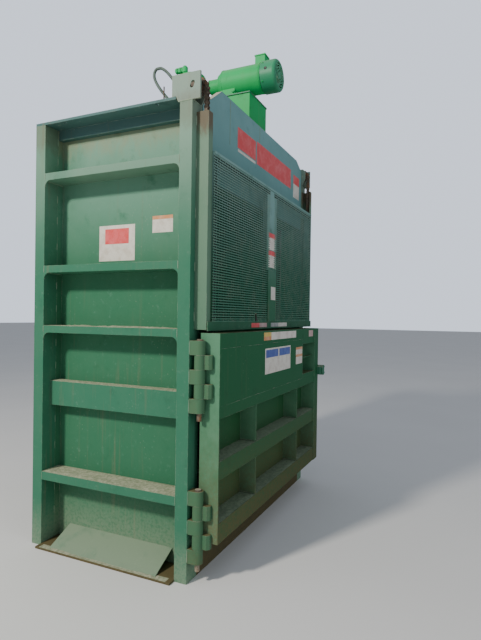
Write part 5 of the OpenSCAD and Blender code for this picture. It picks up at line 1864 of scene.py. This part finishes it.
@dataclass(frozen=True)
class SideSeams:
    """Weld beads of the ribs and short stitches in the inner corners of both sides."""

    ribs: tuple[Point, ...] = (
        (1.298, 0.042, 0.965), (1.655, 0.042, 0.965), (2.205, 0.042, 0.965),
        (0.420, 0.049, 0.965), (0.910, 0.145, 0.905))
    skin: float = 0.823
    rib_end: float = 0.4675
    flush: float = 0.95
    end_bead: float = 0.0026
    edge_bead: float = 0.0028
    corner_bead: float = 0.0032
    short: float = 0.001
    stitch_x: float = 0.8635
    stitch_y: float = 0.4672
    stitch: float = 0.045
    stitches: tuple[float, ...] = (0.16, 0.30, 0.56, 0.72, 1.05, 1.19, 1.40, 1.54, 1.78,
                                   1.94, 2.07, 2.30, 2.42)
    first_seed: int = 10

    def build(self, palette: Palette) -> None:
        """Builds the beads. Each rib is given as its middle, its height and how far out it is.

        Args:
            palette: The finishes.
        """
        beads = Shape()
        seeds = count(self.first_seed)
        for side in SIDES:
            for middle, height, out in self.ribs:
                low, high = middle - height / 2, middle + height / 2
                for y in (-self.rib_end, self.rib_end):
                    for z in (low, high):
                        beads.weld((side * self.skin, y, z),
                                   (side * (out - self.short), y, z), self.end_bead,
                                   next(seeds))
                    if out > self.flush:
                        beads.weld((side * out, y, low), (side * out, y, high),
                                   self.edge_bead, next(seeds))
            for y in (-self.stitch_y, self.stitch_y):
                for z in self.stitches:
                    beads.stitch((side * self.stitch_x, y, z), self.stitch,
                                 self.corner_bead, next(seeds))
        beads.finish("side_welds", palette.weld, "frame", smooth=60.0)


@dataclass(frozen=True)
class FrontSeams:
    """Weld beads on the upper panel, the brackets, the guides and the hinge knuckles."""

    panel: tuple[Point, ...] = ((0.4415, 2.406, 2.669), (0.900, 2.562, 2.672))
    panel_bead: float = 0.0020
    panel_seed: int = 200
    top: float = 2.5
    bracket_x: float = 0.9645
    bracket_places: Span = (-0.5395, -0.4560)
    bracket_bead: float = 0.0030
    bracket_seed: int = 210
    cheek_places: Span = (0.9520, 0.8640)
    cheek_y: float = -0.5415
    cheek_bead: float = 0.0026
    cheek_seed: int = 214
    guide: Span = (0.9205, -0.5420)
    guide_rows: tuple[float, ...] = (1.36, 1.62, 1.90, 2.16, 2.38)
    guide_stitch: float = 0.05
    guide_bead: float = 0.0026
    guide_seeds: tuple[int, ...] = (220, 230)
    knuckle_places: Span = (-0.9632, -0.9048)
    knuckle_y: float = -0.5418
    knuckle_steps: tuple[float, ...] = (0.0, 0.150, 0.300)
    knuckle_inset: float = 0.004
    knuckle_stitch: float = 0.066
    knuckle_bead: float = 0.0028
    knuckle_seed: int = 240

    def build(self, palette: Palette) -> None:
        """Builds the beads. Each kind of seam has seeds of its own.

        Args:
            palette: The finishes.
        """
        beads = Shape()
        for i, (x, low, high) in enumerate(self.panel):
            beads.weld((across(x), FRONT_Y, low), (across(x), FRONT_Y, high),
                       self.panel_bead, self.panel_seed + i)
        for i, side in enumerate(SIDES):
            one, two = (Vector((side * self.bracket_x, y, self.top))
                        for y in self.bracket_places)
            beads.weld(one, two, self.bracket_bead, self.bracket_seed + i)
            one, two = (Vector((side * x, self.cheek_y, self.top)) for x in self.cheek_places)
            beads.weld(one, two, self.cheek_bead, self.cheek_seed + i)
            x, y = self.guide
            for seed, z in enumerate(self.guide_rows, self.guide_seeds[i]):
                beads.stitch((side * x, y, z), self.guide_stitch, self.guide_bead, seed)
        seeds = count(self.knuckle_seed)
        for z in knuckle_feet(self.knuckle_steps):
            for x in self.knuckle_places:
                beads.stitch((x, self.knuckle_y, z + self.knuckle_inset),
                             self.knuckle_stitch, self.knuckle_bead, next(seeds))
        beads.finish("front_welds", palette.weld, "frame", smooth=60.0)


@dataclass(frozen=True)
class DoorSeams:
    """Weld beads on the door: hinge arms, rails, dividers and the cover plate."""

    arm: Span = (-0.9055, -0.6520)
    arm_steps: tuple[float, ...] = (0.075, 0.225)
    arm_inset: float = 0.004
    arm_stitch: float = 0.066
    arm_bead: float = 0.0024
    arm_seed: int = 300
    rail_edges: tuple[float, ...] = (0.315, 0.540, 0.635, 0.858)
    rail_ends: Span = (-0.8935, 0.8125)
    rail_depth: Span = (-0.6800, -0.5830)
    rail_bead: float = 0.0026
    dividers: Span = (-0.402, 0.383)
    divider_half: float = 0.0055
    divider_feet: Span = (0.318, 0.638)
    divider_depth: Span = (-0.6840, -0.5860)
    divider_bead: float = 0.0024
    cover_stitches: tuple[float, ...] = (-0.70, -0.42, -0.14, 0.14, 0.40)
    cover_stitch: float = 0.05
    cover_y: float = -0.6887
    cover_edges: Span = (0.9205, 1.2195)
    cover_bead: float = 0.0020
    next_seed: int = 320

    def build(self, palette: Palette) -> None:
        """Builds the beads. The hinge arms have seeds of their own.

        Args:
            palette: The finishes.
        """
        beads = Shape()
        for seed, z in enumerate(knuckle_feet(self.arm_steps), self.arm_seed):
            beads.stitch((*self.arm, z + self.arm_inset), self.arm_stitch, self.arm_bead,
                         seed)
        seeds = count(self.next_seed)
        front, back = self.rail_depth
        for z in self.rail_edges:
            for x in self.rail_ends:
                beads.weld((x, front, z), (x, back, z), self.rail_bead, next(seeds))
        front, back = self.divider_depth
        for middle in self.dividers:
            for x in (middle - self.divider_half, middle + self.divider_half):
                for z in self.divider_feet:
                    beads.weld((x, front, z), (x, back, z), self.divider_bead,
                               next(seeds))
        for x in self.cover_stitches:
            for z in self.cover_edges:
                beads.weld((x, self.cover_y, z), (x + self.cover_stitch, self.cover_y, z),
                           self.cover_bead, next(seeds))
        beads.finish("door_welds", palette.door_weld, "door", smooth=60.0)


@dataclass(frozen=True)
class Ledges:
    """Dry dirt that lies on the ribs, the rails and the base plate.

    Each rib is given as its top, how far out it is and how deep its dirt lies.
    """

    skin: float = 0.8215
    ribs: tuple[Point, ...] = ((1.319, 0.962, 0.007), (0.9825, 0.902, 0.005),
                               (0.4445, 0.962, 0.006))
    rib_end: float = 0.4660
    base: Span = (0.968, 1.008)
    base_end: float = 0.440
    base_top: float = 0.012
    base_depth: float = 0.004
    shelf_tops: Span = (0.315, 0.635)
    shelf_depth: float = 0.005
    shelf_reach: Span = (-0.6860, -0.5830)
    pockets: tuple[Span, ...] = ((-0.892, -0.4085), (-0.3955, 0.3765), (0.3895, 0.8115))

    def body(self, palette: Palette) -> None:
        """Builds the beds of dirt on the body.

        Args:
            palette: The finishes.
        """
        beds = Shape()
        for side in SIDES:
            for top, out, depth in self.ribs:
                inner, outer = sorted((side * self.skin, side * out))
                beds.drift((inner, -self.rib_end), (outer, self.rib_end), top, depth,
                           seed=top * 7 + side)
            inner, outer = sorted(side * x for x in self.base)
            beds.drift((inner, -self.base_end), (outer, self.base_end), self.base_top,
                       self.base_depth, seed=3.0 + side)
        beds.finish("ledge_dirt", palette.dirt, "frame", smooth=70.0)

    def build(self, palette: Palette) -> None:
        """Builds the beds of dirt on the body and in the door's pockets.

        Args:
            palette: The finishes.
        """
        self.body(palette)
        beds = Shape()
        front, back = self.shelf_reach
        for row, top in enumerate(self.shelf_tops):
            for start, end in self.pockets:
                beds.drift((start, front), (end, back), top, self.shelf_depth,
                           seed=9.0 + row + start)
        beds.finish("door_dirt", palette.door_dirt, "door", smooth=70.0)


def both(*kinds: str) -> list[str]:
    """Names of the left and the right node of each kind."""
    return [f"{side}_{kind}" for kind in kinds for side in ("left", "right")]


def dress_nodes(frame: Frame, palette: Palette) -> None:
    """Gives every CAD node its finish.

    Args:
        frame: The CAD model.
        palette: The finishes.
    """
    for finish, names in (
            (palette.posts, both("front_post", "rear_post", "ribs", "toe_plate")
             + ["rear_ribs", "latch_bracket", "latch_boss"]),
            (palette.hinge, ["frame_knuckles", "door_hinge_arms"]),
            (palette.gate, ["gate_frame"]),
            (palette.roof, ["roof_plate"]),
            (palette.floor, ["base_plate", "chamber_floor"]),
            # The tank lid gets the darker fan-cover paint as a painted shade line under the
            # motor
            (palette.fan, ["fan_cover", "tank_lid"]),
            (palette.sheets, both("side_sheet") + ["rear_sheet"]),
            (palette.frame, ["gate_mesh", "control_box", "control_lid"]),
            (palette.panel, ["upper_front_panel"]),
            (palette.door, ["door_frame", "door_cover", "platen"]),
            (palette.bracket, both("sheave_bracket")),
            (palette.guides, both("gate_guide")),
            (palette.unit, ["oil_tank", "motor_body", "bell_housing", "junction_box",
                            "ram_barrel"]),
            (palette.steel, ["wall_bars", "door_liner", "latch_bolt", "ejector",
                             "valve_block"]),
            (palette.chrome, ["ram_rod"]),
            (palette.rusty, both("chain_wrap", "chain_run", "sheave")
             + ["latch_nut", "hinge_pins"]),
            (palette.casting, both("counterweight")),
            (palette.black, ["gate_hook"]),
            (palette.plastic, ["motor_fan", "mode_switch"]),
            (palette.green_cap, ["start_button"]),
            (palette.red_cap, ["stop_button"]),
            (palette.rubber, ["hydraulic_hose"])):
        frame.dress(finish, *names)


def main() -> None:
    """Builds the dressed machine in its studio."""
    logging.basicConfig(level=logging.INFO, format="%(name)s: %(message)s")
    frame = Frame()
    studio = Studio()
    studio.camera()
    palette = Palette()
    Hose().build(palette)
    dress_nodes(frame, palette)
    Labels().build(frame, palette)
    for part in (Lattice(), GateChain(-1), GateChain(1), RamFittings(), MotorTrim(),
                 TankTrim(), RoofStud(), AxleEnds(), SideSeams(), FrontSeams(), DoorSeams(),
                 Ledges()):
        part.build(palette)
    studio.surroundings()


if __name__ == "__main__":
    main()
